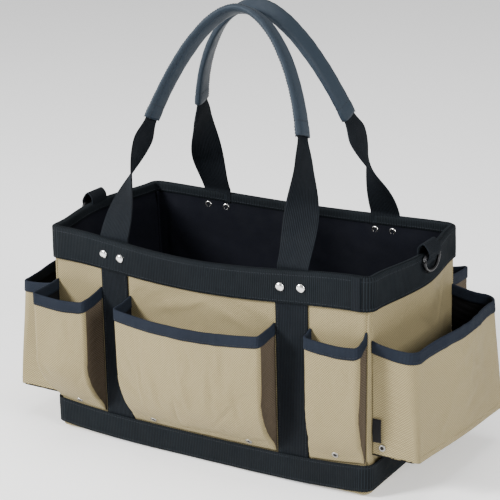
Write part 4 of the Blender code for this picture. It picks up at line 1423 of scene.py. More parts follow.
@dataclass
class Harness:
    """The two bands round the bag and the two straps under it."""

    wardrobe: Wardrobe
    ribs: Tree
    seams: StitchBook
    band_step: float = 0.55 * MM
    band_pitch: float = 2.2 * MM
    strap_pitch: float = STRIP_PITCH
    rib_depth: float = 0.16 * MM
    strap_bend: float = 4.3 * MM
    band_wave: float = 0.25 * MM
    seam_step: float = 3 * MM

    def build(self) -> None:
        """Make the bands, the straps and the joint of the top band."""
        self.top_band()
        self.foot_band()
        for sign, name in ((-1, "left_strap"), (1, "right_strap")):
            self.strap(name, sign * LAYERS.strap_place)
        self.band_end()

    def band(self, name: str, profile: list[tuple[float, float]], hang: bool, node: str) -> None:
        """A ribbed band right round the bag from a closed section.

        Args:
            name: Name of the piece.
            profile: Heights and distances out, anticlockwise round the section.
            hang: Whether the band follows the sag of the bag's foot.
            node: The solid that it stands for.
        """
        sides, along, run = SHAPE.loop(self.band_step)
        drop = SHAPE.loop_sag(sides, along) if hang else 0.0
        rows = []
        for height, out in profile + profile[:1]:
            wave = self.band_wave * ripple(run, height, 0.05, 5)
            row = SHAPE.ring(sides, along, height, out + wave)
            row[:, 2] -= drop
            rows.append(row)
        grid = np.array(rows)
        depth = run_lengths(grid[:, 0])
        around = np.append(run, run[-1] + self.band_step)
        uv = cloth_map(around, depth)
        mesh = grid_mesh(name, grid, uv, wrap=True)
        store_run(mesh, np.broadcast_to(run[None], grid.shape[:2]))
        face_outwards(mesh, SAME_PLACE)
        piece = ribbed_piece(name, mesh, self.wardrobe[BAND_WEBBING], self.ribs,
                             self.band_pitch, self.rib_depth)
        dress(piece, "bag", "webbing", node)

    def top_band(self) -> None:
        """Webbing folded over the rim."""
        top = SHAPE.height
        low, inner_low = top - LAYERS.top_band, top - LAYERS.top_band_inner
        outer = LAYERS.band_out + LAYERS.band
        inner = LAYERS.band_inner - LAYERS.band
        crown = 2.4 * MM
        profile = [(h, outer) for h in np.linspace(low, top - crown, 9)]
        for turn in np.linspace(0, math.pi, 9)[1:-1]:
            profile.append((top - crown + crown * math.sin(turn),
                            mix(inner, outer, (1 + math.cos(turn)) / 2)))
        profile += [(h, inner) for h in np.linspace(top - crown, inner_low, 4)]
        profile.append((inner_low, LAYERS.band_inner))
        thin = crown - LAYERS.band
        for turn in np.linspace(math.pi, 0, 5):
            profile.append((top - crown + thin * math.sin(turn),
                            mix(LAYERS.band_inner, LAYERS.band_out, (1 + math.cos(turn)) / 2)))
        profile.append((low, LAYERS.band_out))
        profile = [(h, o + float(LAYERS.lean(h)) * (o < 0)) for h, o in profile]
        self.band("top_band_webbing", profile, False, "top_band")
        sides, along, _ = SHAPE.loop(self.seam_step)
        for height, out in ((top - 5 * MM, outer), (low + 3 * MM, outer),
                            (inner_low + 2.5 * MM, inner + LAYERS.pinch)):
            self.seams.add(SHAPE.ring(sides, along, height, out), True)

    def foot_band(self) -> None:
        """Webbing round the foot of the walls."""
        outer = LAYERS.band_out + LAYERS.band
        low, high = SHAPE.base_lip, LAYERS.foot_band_top
        soft = 0.5 * MM
        profile = [(h, outer) for h in np.linspace(low + soft, high - soft, 8)]
        profile += [(high, outer - soft), (high, LAYERS.band_out), (low, LAYERS.band_out),
                    (low, outer - soft)]
        self.band("bottom_band_webbing", profile, True, "bottom_band")
        sides, along, _ = SHAPE.loop(self.seam_step)
        for height in (high - 3 * MM, low + 3 * MM):
            line = SHAPE.ring(sides, along, height, outer)
            line[:, 2] -= SHAPE.loop_sag(sides, along)
            self.seams.add(line, True)

    def strap(self, name: str, place: float) -> None:
        """Webbing sewn down the front, under the base and up the rear.

        Args:
            name: Name of the solid.
            place: Place along X.
        """
        middle = LAYERS.gap + LAYERS.webbing / 2
        centre_z = self.strap_bend + LAYERS.webbing
        heights = np.linspace(SHAPE.height - 3 * MM, centre_z, 70)
        wave = 0.2 * MM * ripple(heights, heights * 0, 0.05, 9)
        front = [SHAPE.point(Side.FRONT, place, h, middle + w) for h, w in zip(heights, wave)]
        out = [np.array([0.0, -1.0, 0.0]) for _ in heights]
        foot = SHAPE.point(Side.FRONT, place, centre_z, 0.0)
        bend = self.strap_bend + LAYERS.webbing / 2
        for turn in np.linspace(0, math.pi / 2, 9)[1:]:
            front.append(np.array([foot[0], foot[1] - middle + bend * (1 - math.cos(turn)),
                                   centre_z - bend * math.sin(turn)]))
            out.append(np.array([0.0, -math.cos(turn), -math.sin(turn)]))
        flip = np.array([1.0, -1.0, 1.0])
        under = [np.array([front[-1][0], y, front[-1][2]])
                 for y in np.linspace(front[-1][1], -front[-1][1], 14)[1:-1]]
        centre = np.array(front + under + [p * flip for p in front[::-1]])
        outs = np.array(out + [np.array([0.0, 0.0, -1.0])] * len(under)
                        + [o * flip for o in out[::-1]])
        mesh = sweep_strip(name + "_webbing", centre, TO_RIGHT, outs, LAYERS.strap_width,
                           LAYERS.webbing, STRIP_STEP)
        self.follow_wall(mesh)
        piece = ribbed_piece(name + "_webbing", mesh, self.wardrobe[WEBBING], self.ribs,
                             self.strap_pitch, self.rib_depth)
        dress(piece, "bag", "webbing", name)
        levels = np.linspace(LAYERS.foot_band_top - 4 * MM, SHAPE.height - LAYERS.top_band, 60)
        face = LAYERS.gap + LAYERS.webbing + 0.15 * MM
        for edge in (-1, 1):
            line = place + edge * (LAYERS.strap_width / 2 - 3 * MM)
            for side in (Side.FRONT, Side.REAR):
                self.seams.add(SHAPE.point(side, line if side == Side.FRONT else -line,
                                           levels, face))

    @staticmethod
    def follow_wall(mesh: Mesh) -> None:
        """Curve a strap across its width, so that it lies on the bowed wall.

        Args:
            mesh: The mesh.
        """
        points = points_of(mesh)
        middle = np.full(len(points), points[:, 0].mean())
        height = np.clip(points[:, 2], 0.0, SHAPE.height)
        here = SHAPE.bow(Side.FRONT, points[:, 0], height)
        there = SHAPE.bow(Side.FRONT, middle, height)
        on_wall = ease((points[:, 2] - 4 * MM) / (4 * MM))
        points[:, 1] += np.sign(points[:, 1]) * (here - there) * on_wall
        drop = (SHAPE.sagged(Side.FRONT, points[:, 0], height)
                - SHAPE.sagged(Side.FRONT, middle, height))
        points[:, 2] += drop * on_wall
        mesh.vertices.foreach_set("co", points.ravel())

    def band_end(self) -> None:
        """The folded end of the top band at the front right corner."""
        top = SHAPE.height - 0.6 * MM
        heights = np.linspace(top - LAYERS.top_band + 1 * MM, top, 30)
        out = LAYERS.band_out + LAYERS.band + 0.9 * MM
        middle = SHAPE.flat(Side.FRONT) - 5 * MM
        centre = SHAPE.point(Side.FRONT, middle, heights, out)
        mesh = sweep_strip("top_band_end", centre, TO_RIGHT, TO_FRONT, 10 * MM, 1.4 * MM,
                           STRIP_STEP)
        piece = add_piece("top_band_end", mesh, self.wardrobe[WEBBING])
        dress(piece, "bag", "webbing")


# ---- Pockets -------------------------------------------------------------------------
@dataclass
class Pocket:
    """One outside pocket: two gussets and a face, with tape over its top edge.

    Pairs hold the values at its start and its end along the wall.
    """

    name: str
    side: Side
    span: tuple[float, float]
    depths: tuple[float, float]
    top_depths: tuple[float, float]
    tops: tuple[float, float]
    curls: tuple[float, float]
    sag: float
    flat_foot: bool = False
    crease: float | None = None          # place of an upright crease, across the wall
    bottom: float = 40.0 * MM
    seam_depth: float = 3.2 * MM
    fold: float = 4.5 * MM
    soften: float = 0.5 * MM             # how much rounder the folds are at the top
    clear: float = 0.6 * MM
    thickness: float = 0.9 * MM
    tape_height: float = 12.5 * MM
    rises: tuple[float, float] = (9.0 * MM, -1.0 * MM)
    gusset_pull: float = 3.5 * MM
    gusset_pucker: float = 0.45 * MM
    filled_by: float = 0.45              # share of the height where it stands out in full
    fill_power: float = 1.6              # how suddenly it narrows below that
    gusset_step: float = 2.2 * MM
    face_step: float = 1.7 * MM
    rows: int = 84
    floor_rows: int = 22
    hem_row: int = 4                     # row next to the foot's stitches
    hem_share: float = 0.048             # share of the height where they are
    held_foot: float = 0.07              # share of the height that the foot's seam holds
    held_top: float = 1.25               # what the tape holds, in tape heights
    rib_pitch: float = 1.4 * MM          # ribs of the tape
    rib_depth: float = 0.07 * MM

    @property
    def rise(self) -> float:
        """Foot to the middle of the top edge."""
        return sum(self.tops) / 2 - self.bottom

    def columns(self) -> tuple[Array, Array]:
        """Kinds and shares of the columns: gusset, fold, face, fold, gusset.

        Returns:
            The kinds, 0 to 4, and the shares.
        """
        width = self.span[1] - self.span[0]
        gusset = max(8, round(max(self.depths) / self.gusset_step))
        face = max(20, round(width / self.face_step))
        counts = (gusset, 6, face, 6, gusset)
        kinds = np.concatenate([np.full(n, k) for k, n in enumerate(counts)])
        shares = np.concatenate([np.arange(n) / n for n in counts])
        return np.append(kinds, 4), np.append(shares, 1.0)

    def levels(self) -> tuple[Array, Array]:
        """Shares of the height for the rows, and how full the pocket is there.

        Returns:
            The shares and the fullness.
        """
        up = np.linspace(0.0, 1.0, self.rows)
        if self.flat_foot:
            floor = np.linspace(0.0, 1.0, self.floor_rows)[:-1]
            return np.concatenate([floor * 0, up]), np.concatenate([floor, up * 0 + 1])
        return up, 1 - np.maximum(0.0, 1 - up / self.filled_by) ** self.fill_power

    def surface(self, shares: Array, fullness: Array, kinds: Array,
                spots: Array) -> Array:
        """Points of the canvas.

        Args:
            shares: Share of the height, per row.
            fullness: How far the pocket stands out, per row.
            kinds: Kind of each column.
            spots: Share along its kind, per column.

        Returns:
            The points, shaped (rows, columns, 3).
        """
        share, full = shares[:, None], fullness[:, None]
        level = mix(self.bottom, sum(self.tops) / 2, share)
        walls = [SHAPE.wall_away(self.side, edge, level) for edge in self.span]
        depth = [self.seam_depth + (mix(self.depths[e], self.top_depths[e], share)
                                    - self.seam_depth) * full for e in (0, 1)]
        faces = [walls[e] + depth[e] for e in (0, 1)]
        radius = np.minimum(self.fold + self.soften * ease(share),
                            (np.minimum(*faces) - np.maximum(*walls)) * 0.45)
        part = np.where(kinds < 2, 0.0, np.where(kinds > 2, 1.0, spots))[None]
        low, high = self.span
        across = np.zeros(np.broadcast(share, part).shape)
        away = np.zeros_like(across)
        for end, edge, way in ((0, low, 1.0), (1, high, -1.0)):
            gusset = kinds == (0 if end == 0 else 4)
            run = spots[gusset] if end == 0 else 1 - spots[gusset]
            inner, outer = walls[end] + self.clear, np.maximum(
                walls[end] + self.clear + 0.1 * MM, faces[end] - radius)
            pull = self.gusset_pull * np.sin(math.pi * run)[None] * np.sin(
                math.pi * np.clip(share, 0, 1) ** 0.8) * full
            pucker = self.gusset_pucker * np.sin(level * 2 * math.pi / (7.5 * MM) + 5 * run[None])
            across[:, gusset] = edge + way * (pull + pucker * np.sin(math.pi * run)[None] * full)
            away[:, gusset] = mix(inner, outer, run[None])
            bend = kinds == (1 if end == 0 else 3)
            turn = (spots[bend] if end == 0 else 1 - spots[bend]) * math.pi / 2
            across[:, bend] = edge + way * radius * (1 - np.cos(turn))[None]
            away[:, bend] = faces[end] - radius + radius * np.sin(turn)[None]
        face = kinds == 2
        run = spots[face][None]
        across[:, face] = mix(low + radius, high - radius, run)
        middle = mix(low, high, run)
        lifts = [SHAPE.bow(self.side, edge, level) for edge in self.span]
        crown = np.maximum(0.0, SHAPE.bow(self.side, middle, level) - mix(*lifts, run))
        away[:, face] = mix(faces[0], faces[1], run) + crown
        away[:, face] += self.unevenness(across[:, face], level, run, share, full)
        height = self.heights(share, full, kinds, spots, across, part)
        flat = across[..., None] * TANGENTS[self.side] + away[..., None] * NORMALS[self.side]
        return np.concatenate([flat, height[..., None]], -1)

    def unevenness(self, across: Array, level: Array, run: Array,
                   share: Array, full: Array) -> Array:
        """Belly, creases and soft waves of the face, none at its edges.

        Args:
            across: Place across the wall.
            level: Height, per row.
            run: Share across the face.
            share: Share of the height, per row.
            full: How full the pocket is, per row.

        Returns:
            Distances out.
        """
        seed = sum(ord(letter) for letter in self.name)
        free = np.sin(math.pi * run) ** 0.6 * full * ease(share / 0.15)
        free = free * (0.35 + 0.65 * ease((1 - share) / 0.25))
        waves = ripple(across, level * 0.6, 0.075, seed) + 0.45 * ripple(across, level, 0.03,
                                                                        seed + 1)
        area = (self.span[1] - self.span[0]) * self.rise
        folds = creases(across, level, seed + 2, 3 + round(area / 0.0011), 1.05, 1.3 * MM)
        belly = 1.8 * MM * np.sin(math.pi * run) * np.sin(math.pi * np.clip(share, 0, 1))
        out = free * (1.1 * MM * waves + folds) + belly * full
        if self.crease is not None:
            out = out + 0.9 * MM * np.exp(-((across - self.crease) / (2.2 * MM)) ** 2) * free
        return out

    def heights(self, share: Array, full: Array, kinds: Array,
                spots: Array, across: Array, part: Array) -> Array:
        """Height of every point, between the foot and the top edge.

        Args:
            share: Share of the height, per row.
            full: How full the pocket is, per row; not used.
            kinds: Kind of each column.
            spots: Share along its kind, per column.
            across: Place across the wall.
            part: Share from the start to the end.

        Returns:
            The heights.
        """
        curl = np.zeros(len(kinds))
        for end, gusset, bend in ((0, 0, 1), (1, 4, 3)):
            near = np.where(kinds == gusset, spots if end == 0 else 1 - spots, 0.0)
            fade = np.where(kinds == bend, spots if end == 0 else 1 - spots, 0.0)
            curl += np.where(kinds == gusset, self.curls[end] * (0.25 + 0.75 * (1 - near) ** 2),
                             0.0)
            curl += np.where(kinds == bend, self.curls[end] * 0.25 * (1 - fade), 0.0)
        top = mix(self.tops[0], self.tops[1], part) + curl[None]
        top = top - np.where(kinds == 2, self.sag * 4 * part * (1 - part), 0.0)
        if self.flat_foot:
            place = (across - self.span[0]) / (self.span[1] - self.span[0])
            foot = self.bottom + mix(*self.rises, np.clip(place, 0, 1))
        else:
            foot = self.bottom - SHAPE.foot_sag(self.side, across)
        return mix(foot, top, share)

    def cut_out(self, wardrobe: Wardrobe) -> Piece:
        """The pocket's canvas as one sheet, with the points that its seams and tape hold.

        Args:
            wardrobe: The finishes.

        Returns:
            The sheet.
        """
        kinds, spots = self.columns()
        shares, fullness = self.levels()
        grid = self.surface(shares, fullness, kinds, spots)
        run = run_lengths(grid[-1])
        rise = run_lengths(grid[:, len(run) // 2])
        uv = cloth_map(run, rise)
        name = f"{self.name}_pocket_cloth"
        piece = add_piece(name, grid_mesh(name, grid, uv), wardrobe[CANVAS])
        # Slot 2 is the darker gusset canvas, painted shade.
        for finish in (BACKING, GUSSET_PAINTED_SHADE, BACKING):
            piece.data.materials.append(wardrobe[finish])
        if not self.side % 2:
            self.shade_gussets(piece, kinds)
        taped = 1 - self.held_top * self.tape_height / self.rise
        rows = (shares < self.held_foot) | (shares > taped)
        ends = np.arange(len(kinds))
        columns = (ends < 2) | (ends > len(kinds) - 3)
        held = np.flatnonzero((rows[:, None] | columns[None]).ravel())
        piece.vertex_groups.new(name=SEWN_NAME).add(held.tolist(), 1.0, "REPLACE")
        return piece

    def finish(self, piece: Piece, wardrobe: Wardrobe, seams: StitchBook,
               dark_seams: StitchBook) -> None:
        """Thicken the sheet and add the tape over its top edge and the stitches.

        Args:
            piece: The piece.
            wardrobe: The finishes.
            seams: Seams in canvas thread.
            dark_seams: Seams in dark thread.
        """
        kinds, spots = self.columns()
        _, fullness = self.levels()
        name = f"{self.name}_pocket"
        dress(thicken(piece, self.thickness, even=False, back=1), "bag", "canvas", name)
        self.tape(wardrobe, kinds, spots)
        face = np.flatnonzero((kinds >= 1) & (kinds <= 3))
        full = 1.0 if self.flat_foot else fullness[self.hem_row]
        hem = self.surface(np.array([self.hem_share]), np.array([full]), kinds, spots)[0]
        facing = np.append(NORMALS[self.side], 0.0)
        seams.add(hem[face] + facing * 0.2 * MM)
        level = 1 - (self.tape_height - 2.5 * MM) / self.rise
        line = self.surface(np.array([level]), np.array([1.0]), kinds, spots)[0]
        dark_seams.add(line[face] + facing * (LAYERS.gap + 0.95 * MM))

    @staticmethod
    def shade_gussets(piece: Piece, kinds: Array) -> None:
        """Give the gussets of a long wall's pocket the darker canvas, which paints the shade on
        them.

        Args:
            piece: The piece.
            kinds: Kind of each column.
        """
        column = np.arange(len(piece.data.polygons)) % (len(kinds) - 1)
        dark = (kinds[column] == 0) | (kinds[column] == 4)
        piece.data.polygons.foreach_set("material_index", 2 * dark.astype(np.int32))

    def tape(self, wardrobe: Wardrobe, kinds: Array, spots: Array) -> None:
        """Ribbed tape folded over the top edge.

        Args:
            wardrobe: The finishes.
            kinds: Kind of each column.
            spots: Share along its kind, per column.
        """
        drop = self.tape_height / self.rise
        lower = self.surface(np.array([1 - drop, 1.0]), np.array([1.0, 1.0]), kinds, spots)
        down = lower[0] - lower[1]
        down /= np.linalg.norm(down, axis=1)[:, None]
        tangent = np.gradient(lower[1], axis=0)
        out = np.cross(tangent, -down)
        out /= np.linalg.norm(out, axis=1)[:, None]
        run = run_lengths(lower[1])
        fine = np.linspace(0, run[-1], round(run[-1] / (0.5 * MM)))
        edge, down, out = (np.stack([np.interp(fine, run, values[:, axis]) for axis in range(3)],
                                    1) for values in (lower[1], down, out))
        grid = []
        ribs = self.rib_depth * np.sin(2 * math.pi * fine / self.rib_pitch)[:, None]
        for fall, away, face in self.tape_section():
            grid.append(edge + down * fall + out * (away + face * ribs))
        grid = np.array(grid + grid[:1]).transpose(1, 0, 2)[:, :-1]
        depth = run_lengths(np.append(grid[0], grid[0][:1], 0))
        uv = np.stack(np.broadcast_arrays(fine[:, None], depth[None]), -1)
        name = f"{self.name}_pocket_binding"
        mesh = grid_mesh(name + "_tape", grid, uv, wrap=True, caps=True)
        face_outwards(mesh)
        piece = add_piece(name + "_tape", mesh, wardrobe[TAPE])
        dress(piece, "bag", "binding", name)

    def tape_section(self) -> list[tuple[float, float, float]]:
        """Fall, distance out and facing of the tape's closed section.

        Returns:
            The points of the section.
        """
        tape, gap = 0.8 * MM, 0.25 * MM
        outer, inner = gap + tape, -self.thickness - gap - tape
        crown = 0.9 * MM
        points = [(fall, outer, 1.0) for fall in np.linspace(self.tape_height, 0.6 * MM, 6)]
        for turn in np.linspace(0, math.pi, 7)[1:-1]:
            points.append((0.6 * MM - (0.6 * MM + crown) * math.sin(turn),
                           mix(inner, outer, (1 + math.cos(turn)) / 2), math.cos(turn)))
        points += [(fall, inner, -1.0) for fall in np.linspace(0.6 * MM, self.tape_height, 6)]
        points += [(self.tape_height, inner + tape, 0.0), (0.2 * MM, inner + tape, 0.0),
                   (0.2 * MM, gap, 0.0), (self.tape_height, gap, 0.0)]
        return points


def pocket_plan() -> list[Pocket]:
    """The eight pockets; the rear ones are the front ones turned half a turn.

    Returns:
        The pockets, in the order that they are made.
    """
    seam = {side: SHAPE.flat(side) + SHAPE.corner * math.sin(math.pi / 4) - 1.2 * MM
            for side in Side}
    inner = LAYERS.strap_place - LAYERS.strap_width / 2 - 1.8 * MM
    outer = LAYERS.strap_place + LAYERS.strap_width / 2 + 1.8 * MM
    top = 178 * MM
    plan = []
    for side, deep, slim in ((Side.FRONT, "left", "right"), (Side.REAR, "right", "left")):
        edge = seam[side]
        deep_depths, slim_depths = (50 * MM, 38 * MM), (17 * MM, 20 * MM)
        wide_depths = (36 * MM, 36 * MM)
        plan += [
            Pocket(f"{side.label}_{deep}", side, (-edge, -outer), deep_depths, deep_depths,
                   (top + 4 * MM, top), (3 * MM, 8 * MM), 2 * MM),
            Pocket(f"{side.label}_wide", side, (-inner, inner), wide_depths, wide_depths,
                   (top, top), (5 * MM, 5 * MM), 5 * MM, crease=-0.062),
            Pocket(f"{side.label}_{slim}", side, (outer, edge), slim_depths, slim_depths,
                   (top, top - 2 * MM), (5 * MM, 12 * MM), 2 * MM),
        ]
    for side in (Side.RIGHT, Side.LEFT):
        edge = seam[side]
        plan.append(Pocket(f"{side.label}_end", side, (-edge, edge), (56 * MM, 66 * MM),
                           (50 * MM, 57 * MM), (170 * MM, 170 * MM), (8 * MM, 8 * MM), -4 * MM,
                           flat_foot=True, soften=10 * MM))
    return plan


# ---- Handles -------------------------------------------------------------------------
@dataclass
class Handle:
    """Webbing that rises from two straps, folded in half inside a flat tubular grip."""

    name: str
    side: Side
    apex_height: float = 0.500
    knee: tuple[float, float, float] = (0.116, 0.038, 0.55)
    shoulder: float = 0.052
    fold_start: float = 0.78
    mouth_width: float = 21.6 * MM
    folded_width: float = 19.0 * MM
    grip_start: float = 0.333
    grip_width: float = 25.0 * MM
    grip_height: float = 9.0 * MM
    apex_side: float = 14.0 * MM
    stations: int = 41               # stations of the plain solid, whose fold this follows
    fine: int = 241

    def __post_init__(self) -> None:
        """Work out the foot, the apex and the direction square to the arch."""
        self.sign = 1.0 if self.side == Side.REAR else -1.0
        foot = SHAPE.point(self.side, LAYERS.strap_place, SHAPE.height, -2.3 * MM)
        self.root = np.array([LAYERS.strap_place, foot[1], foot[2] + 3 * MM])
        self.apex = np.array([0.0, self.sign * self.apex_side, self.apex_height])
        lean = np.array([0.0, self.apex[1] - self.root[1], self.apex[2] - self.root[2]])
        square = np.cross([1.0, 0.0, 0.0], lean)
        self.square = -self.sign * square / np.linalg.norm(square)

    @property
    def body(self) -> str:
        """The moving body that the handle rides on."""
        return f"{self.name}_handle"

    def centre(self, t: float) -> Array:
        """Point of the arch; t runs from 0 at the left foot over 1 at the apex to 2.

        Args:
            t: Place on the arch, from 0 to 2.

        Returns:
            The point.
        """
        share = t if t <= 1 else 2 - t
        knee = np.array([self.knee[0], self.sign * self.knee[1],
                         mix(self.root[2], self.apex[2], self.knee[2])])
        shoulder = self.apex + np.array([self.shoulder, 0.0, 0.0])
        point = (self.root * (1 - share) ** 3 + knee * 3 * (1 - share) ** 2 * share
                 + shoulder * 3 * (1 - share) * share ** 2 + self.apex * share ** 3)
        return point * np.array([1.0 if t > 1 else -1.0, 1.0, 1.0])

    def leg_share(self, t: float) -> float:
        """0 at a foot, 1 from just below the grip on."""
        return min(1.0, (t if t <= 1 else 2 - t) / (self.grip_start - 2 / self.stations))

    def frame(self, t: float) -> tuple[Array, Array]:
        """Width direction and flat direction of the webbing.

        Args:
            t: Place on the arch, from 0 to 2.

        Returns:
            The two directions.
        """
        step = 0.01
        tangent = self.centre(min(2.0, t + step)) - self.centre(max(0.0, t - step))
        tangent /= np.linalg.norm(tangent)
        inward = np.cross(tangent, self.square)
        inward /= np.linalg.norm(inward)
        if (inward[0] > 0) != (t < 1):
            inward = -inward
        turn = math.pi / 2 * float(ease(self.leg_share(t)))
        width = inward * math.cos(turn) + self.square * math.sin(turn)
        flat = np.cross(tangent, width)
        return width, flat / np.linalg.norm(flat)

    def half_width(self, t: float) -> float:
        """Half the width of the webbing, which folds just below the grip and inside it.

        Args:
            t: Place on the arch, from 0 to 2.

        Returns:
            Half the width.
        """
        share = (t if t <= 1 else 2 - t) / self.grip_start
        below = ease((share - self.fold_start) / (1 - self.fold_start))
        inside = ease((share - 1.02) / 0.08)
        width = mix(LAYERS.strap_width, self.mouth_width, below)
        return float(mix(width, self.folded_width, inside)) / 2

    def build(self, wardrobe: Wardrobe, ribs: Tree,
              stitches: Tree) -> None:
        """Make the webbing, the grip and its stitches."""
        self.webbing(wardrobe, ribs)
        self.grip(wardrobe, stitches)

    def webbing(self, wardrobe: Wardrobe, ribs: Tree) -> None:
        """The strip from foot to foot, its ends sewn in under the top band.

        Args:
            wardrobe: The finishes.
            ribs: The rib tree.
        """
        steps = np.linspace(0.0, 2.0, self.fine)
        centre = np.array([self.centre(t) for t in steps])
        frames = [self.frame(t) for t in steps]
        across = np.array([f[0] for f in frames])
        flat = np.array([f[1] for f in frames])
        widths = np.array([2 * self.half_width(t) for t in steps])
        sunk = np.linspace(16 * MM, 1 * MM, 8)
        ends = []
        for index in (0, -1):
            drop = np.array([centre[index] - depth * UP for depth in sunk])
            ends.append(drop if index == 0 else drop[::-1])
        centre = np.concatenate([ends[0], centre, ends[1]])
        across = np.concatenate([across[:1].repeat(8, 0), across, across[-1:].repeat(8, 0)])
        flat = np.concatenate([flat[:1].repeat(8, 0), flat, flat[-1:].repeat(8, 0)])
        widths = np.concatenate([widths[:1].repeat(8), widths, widths[-1:].repeat(8)])
        name = f"{self.name}_handle_strip"
        mesh = sweep_strip(name, centre, across, flat, widths, LAYERS.webbing,
                           STRIP_STEP)
        piece = ribbed_piece(name, mesh, wardrobe[WEBBING], ribs, STRIP_PITCH, 0.16 * MM)
        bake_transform(piece)
        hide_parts(f"{self.name}_handle_webbing")
        LOG.info("%s: %d faces", name, len(piece.data.polygons))

    def grip(self, wardrobe: Wardrobe, stitches: Tree) -> None:
        """The sleeve, with a sewn edge along it and hems at its ends.

        Args:
            wardrobe: The finishes.
            stitches: The stitch tree.
        """
        steps = np.linspace(self.grip_start, 2.0 - self.grip_start, 180)
        rows, seam, hems = [], [], []
        section = self.section(36)
        for index, t in enumerate(steps):
            centre = self.centre(t)
            width, flat = self.frame(t)
            end = min(index, len(steps) - 1 - index)
            hem = 0.35 * MM if end < 5 else 0.0
            pucker = 1 + 0.012 * math.sin(index * 0.9) + 0.01 * math.sin(index * 0.37)
            half_w = self.grip_width / 2 * pucker + hem
            half_h = self.grip_height / 2 * (1 + 0.03 * math.sin(index * 0.23)) + hem
            row = [centre + width * half_w * a + flat * half_h * b for a, b in section]
            rows.append(row)
            for way in (-1, 1):
                seam.append(centre + width * (half_w - 3.2 * MM) + flat * way * half_h * 0.80)
            if end == 6:
                hems.append(np.array(row) + (np.array(row) - centre) * 0.01)
        grid = np.array(rows)
        length = run_lengths(grid[:, 0])
        around = run_lengths(np.append(grid[60], grid[60][:1], 0))
        uv = cloth_map(around, length)
        name = f"{self.name}_grip_sleeve"
        mesh = grid_mesh(name, grid, uv, wrap=True)
        face_outwards(mesh)
        piece = thicken(add_piece(name, mesh, wardrobe[SLEEVE]), 1.4 * MM)
        dress(piece, self.body, "grip", f"{self.name}_grip_cover")
        book = StitchBook(f"{self.name}_grip_stitches", self.body, DARK_THREAD, "grip")
        book.add(np.array(seam[::2]))
        book.add(np.array(seam[1::2]))
        for hem in hems:
            book.add(hem, True)
        book.sew(stitches, wardrobe)

    @staticmethod
    def section(count: int, squareness: float = 0.62) -> list[tuple[float, float]]:
        """Round-cornered flat section with a thin sewn edge on one side.

        Args:
            count: Points round it.
            squareness: 1 is an ellipse, less is squarer.

        Returns:
            Shares of the half width and of the half height.
        """
        points = []
        for turn in np.linspace(0, 2 * math.pi, count, endpoint=False):
            c, s = math.cos(turn), math.sin(turn)
            lip = max(0.0, c) ** 6
            points.append((math.copysign(abs(c) ** squareness, c) * (1 + 0.06 * lip),
                           math.copysign(abs(s) ** squareness, s) * (1 - 0.45 * max(0.0, c) ** 3)))
        return points


# ---- Hardware ------------------------------------------------------------------------
def turned_mesh(name: str, profile: list[tuple[float, float]], steps: int) -> Mesh:
    """Solid of revolution about Z from an outline of radii and heights.

    Args:
        name: Name of the piece.
        profile: Radii and heights.
        steps: Stations round the axis.

    Returns:
        The mesh.
    """
    edit = bmesh.new()
    rings = []
    for turn in np.linspace(0, 2 * math.pi, steps, endpoint=False):
        rings.append([edit.verts.new((r * math.cos(turn), r * math.sin(turn), z))
                      for r, z in profile])
    closed = profile[0][0] > 0
    count = len(profile) if closed else len(profile) - 1
    for here, there in zip(rings, rings[1:] + rings[:1]):
        for i in range(count):
            j = (i + 1) % len(profile)
            edit.faces.new((here[i], there[i], there[j], here[j]))
    bmesh.ops.remove_doubles(edit, verts=edit.verts, dist=1e-7)
    bmesh.ops.recalc_face_normals(edit, faces=edit.faces)
    mesh = bpy.data.meshes.new(name)
    edit.to_mesh(mesh)
    edit.free()
    mesh.shade_smooth()
    mesh.set_sharp_from_angle(angle=math.radians(50))
    return mesh


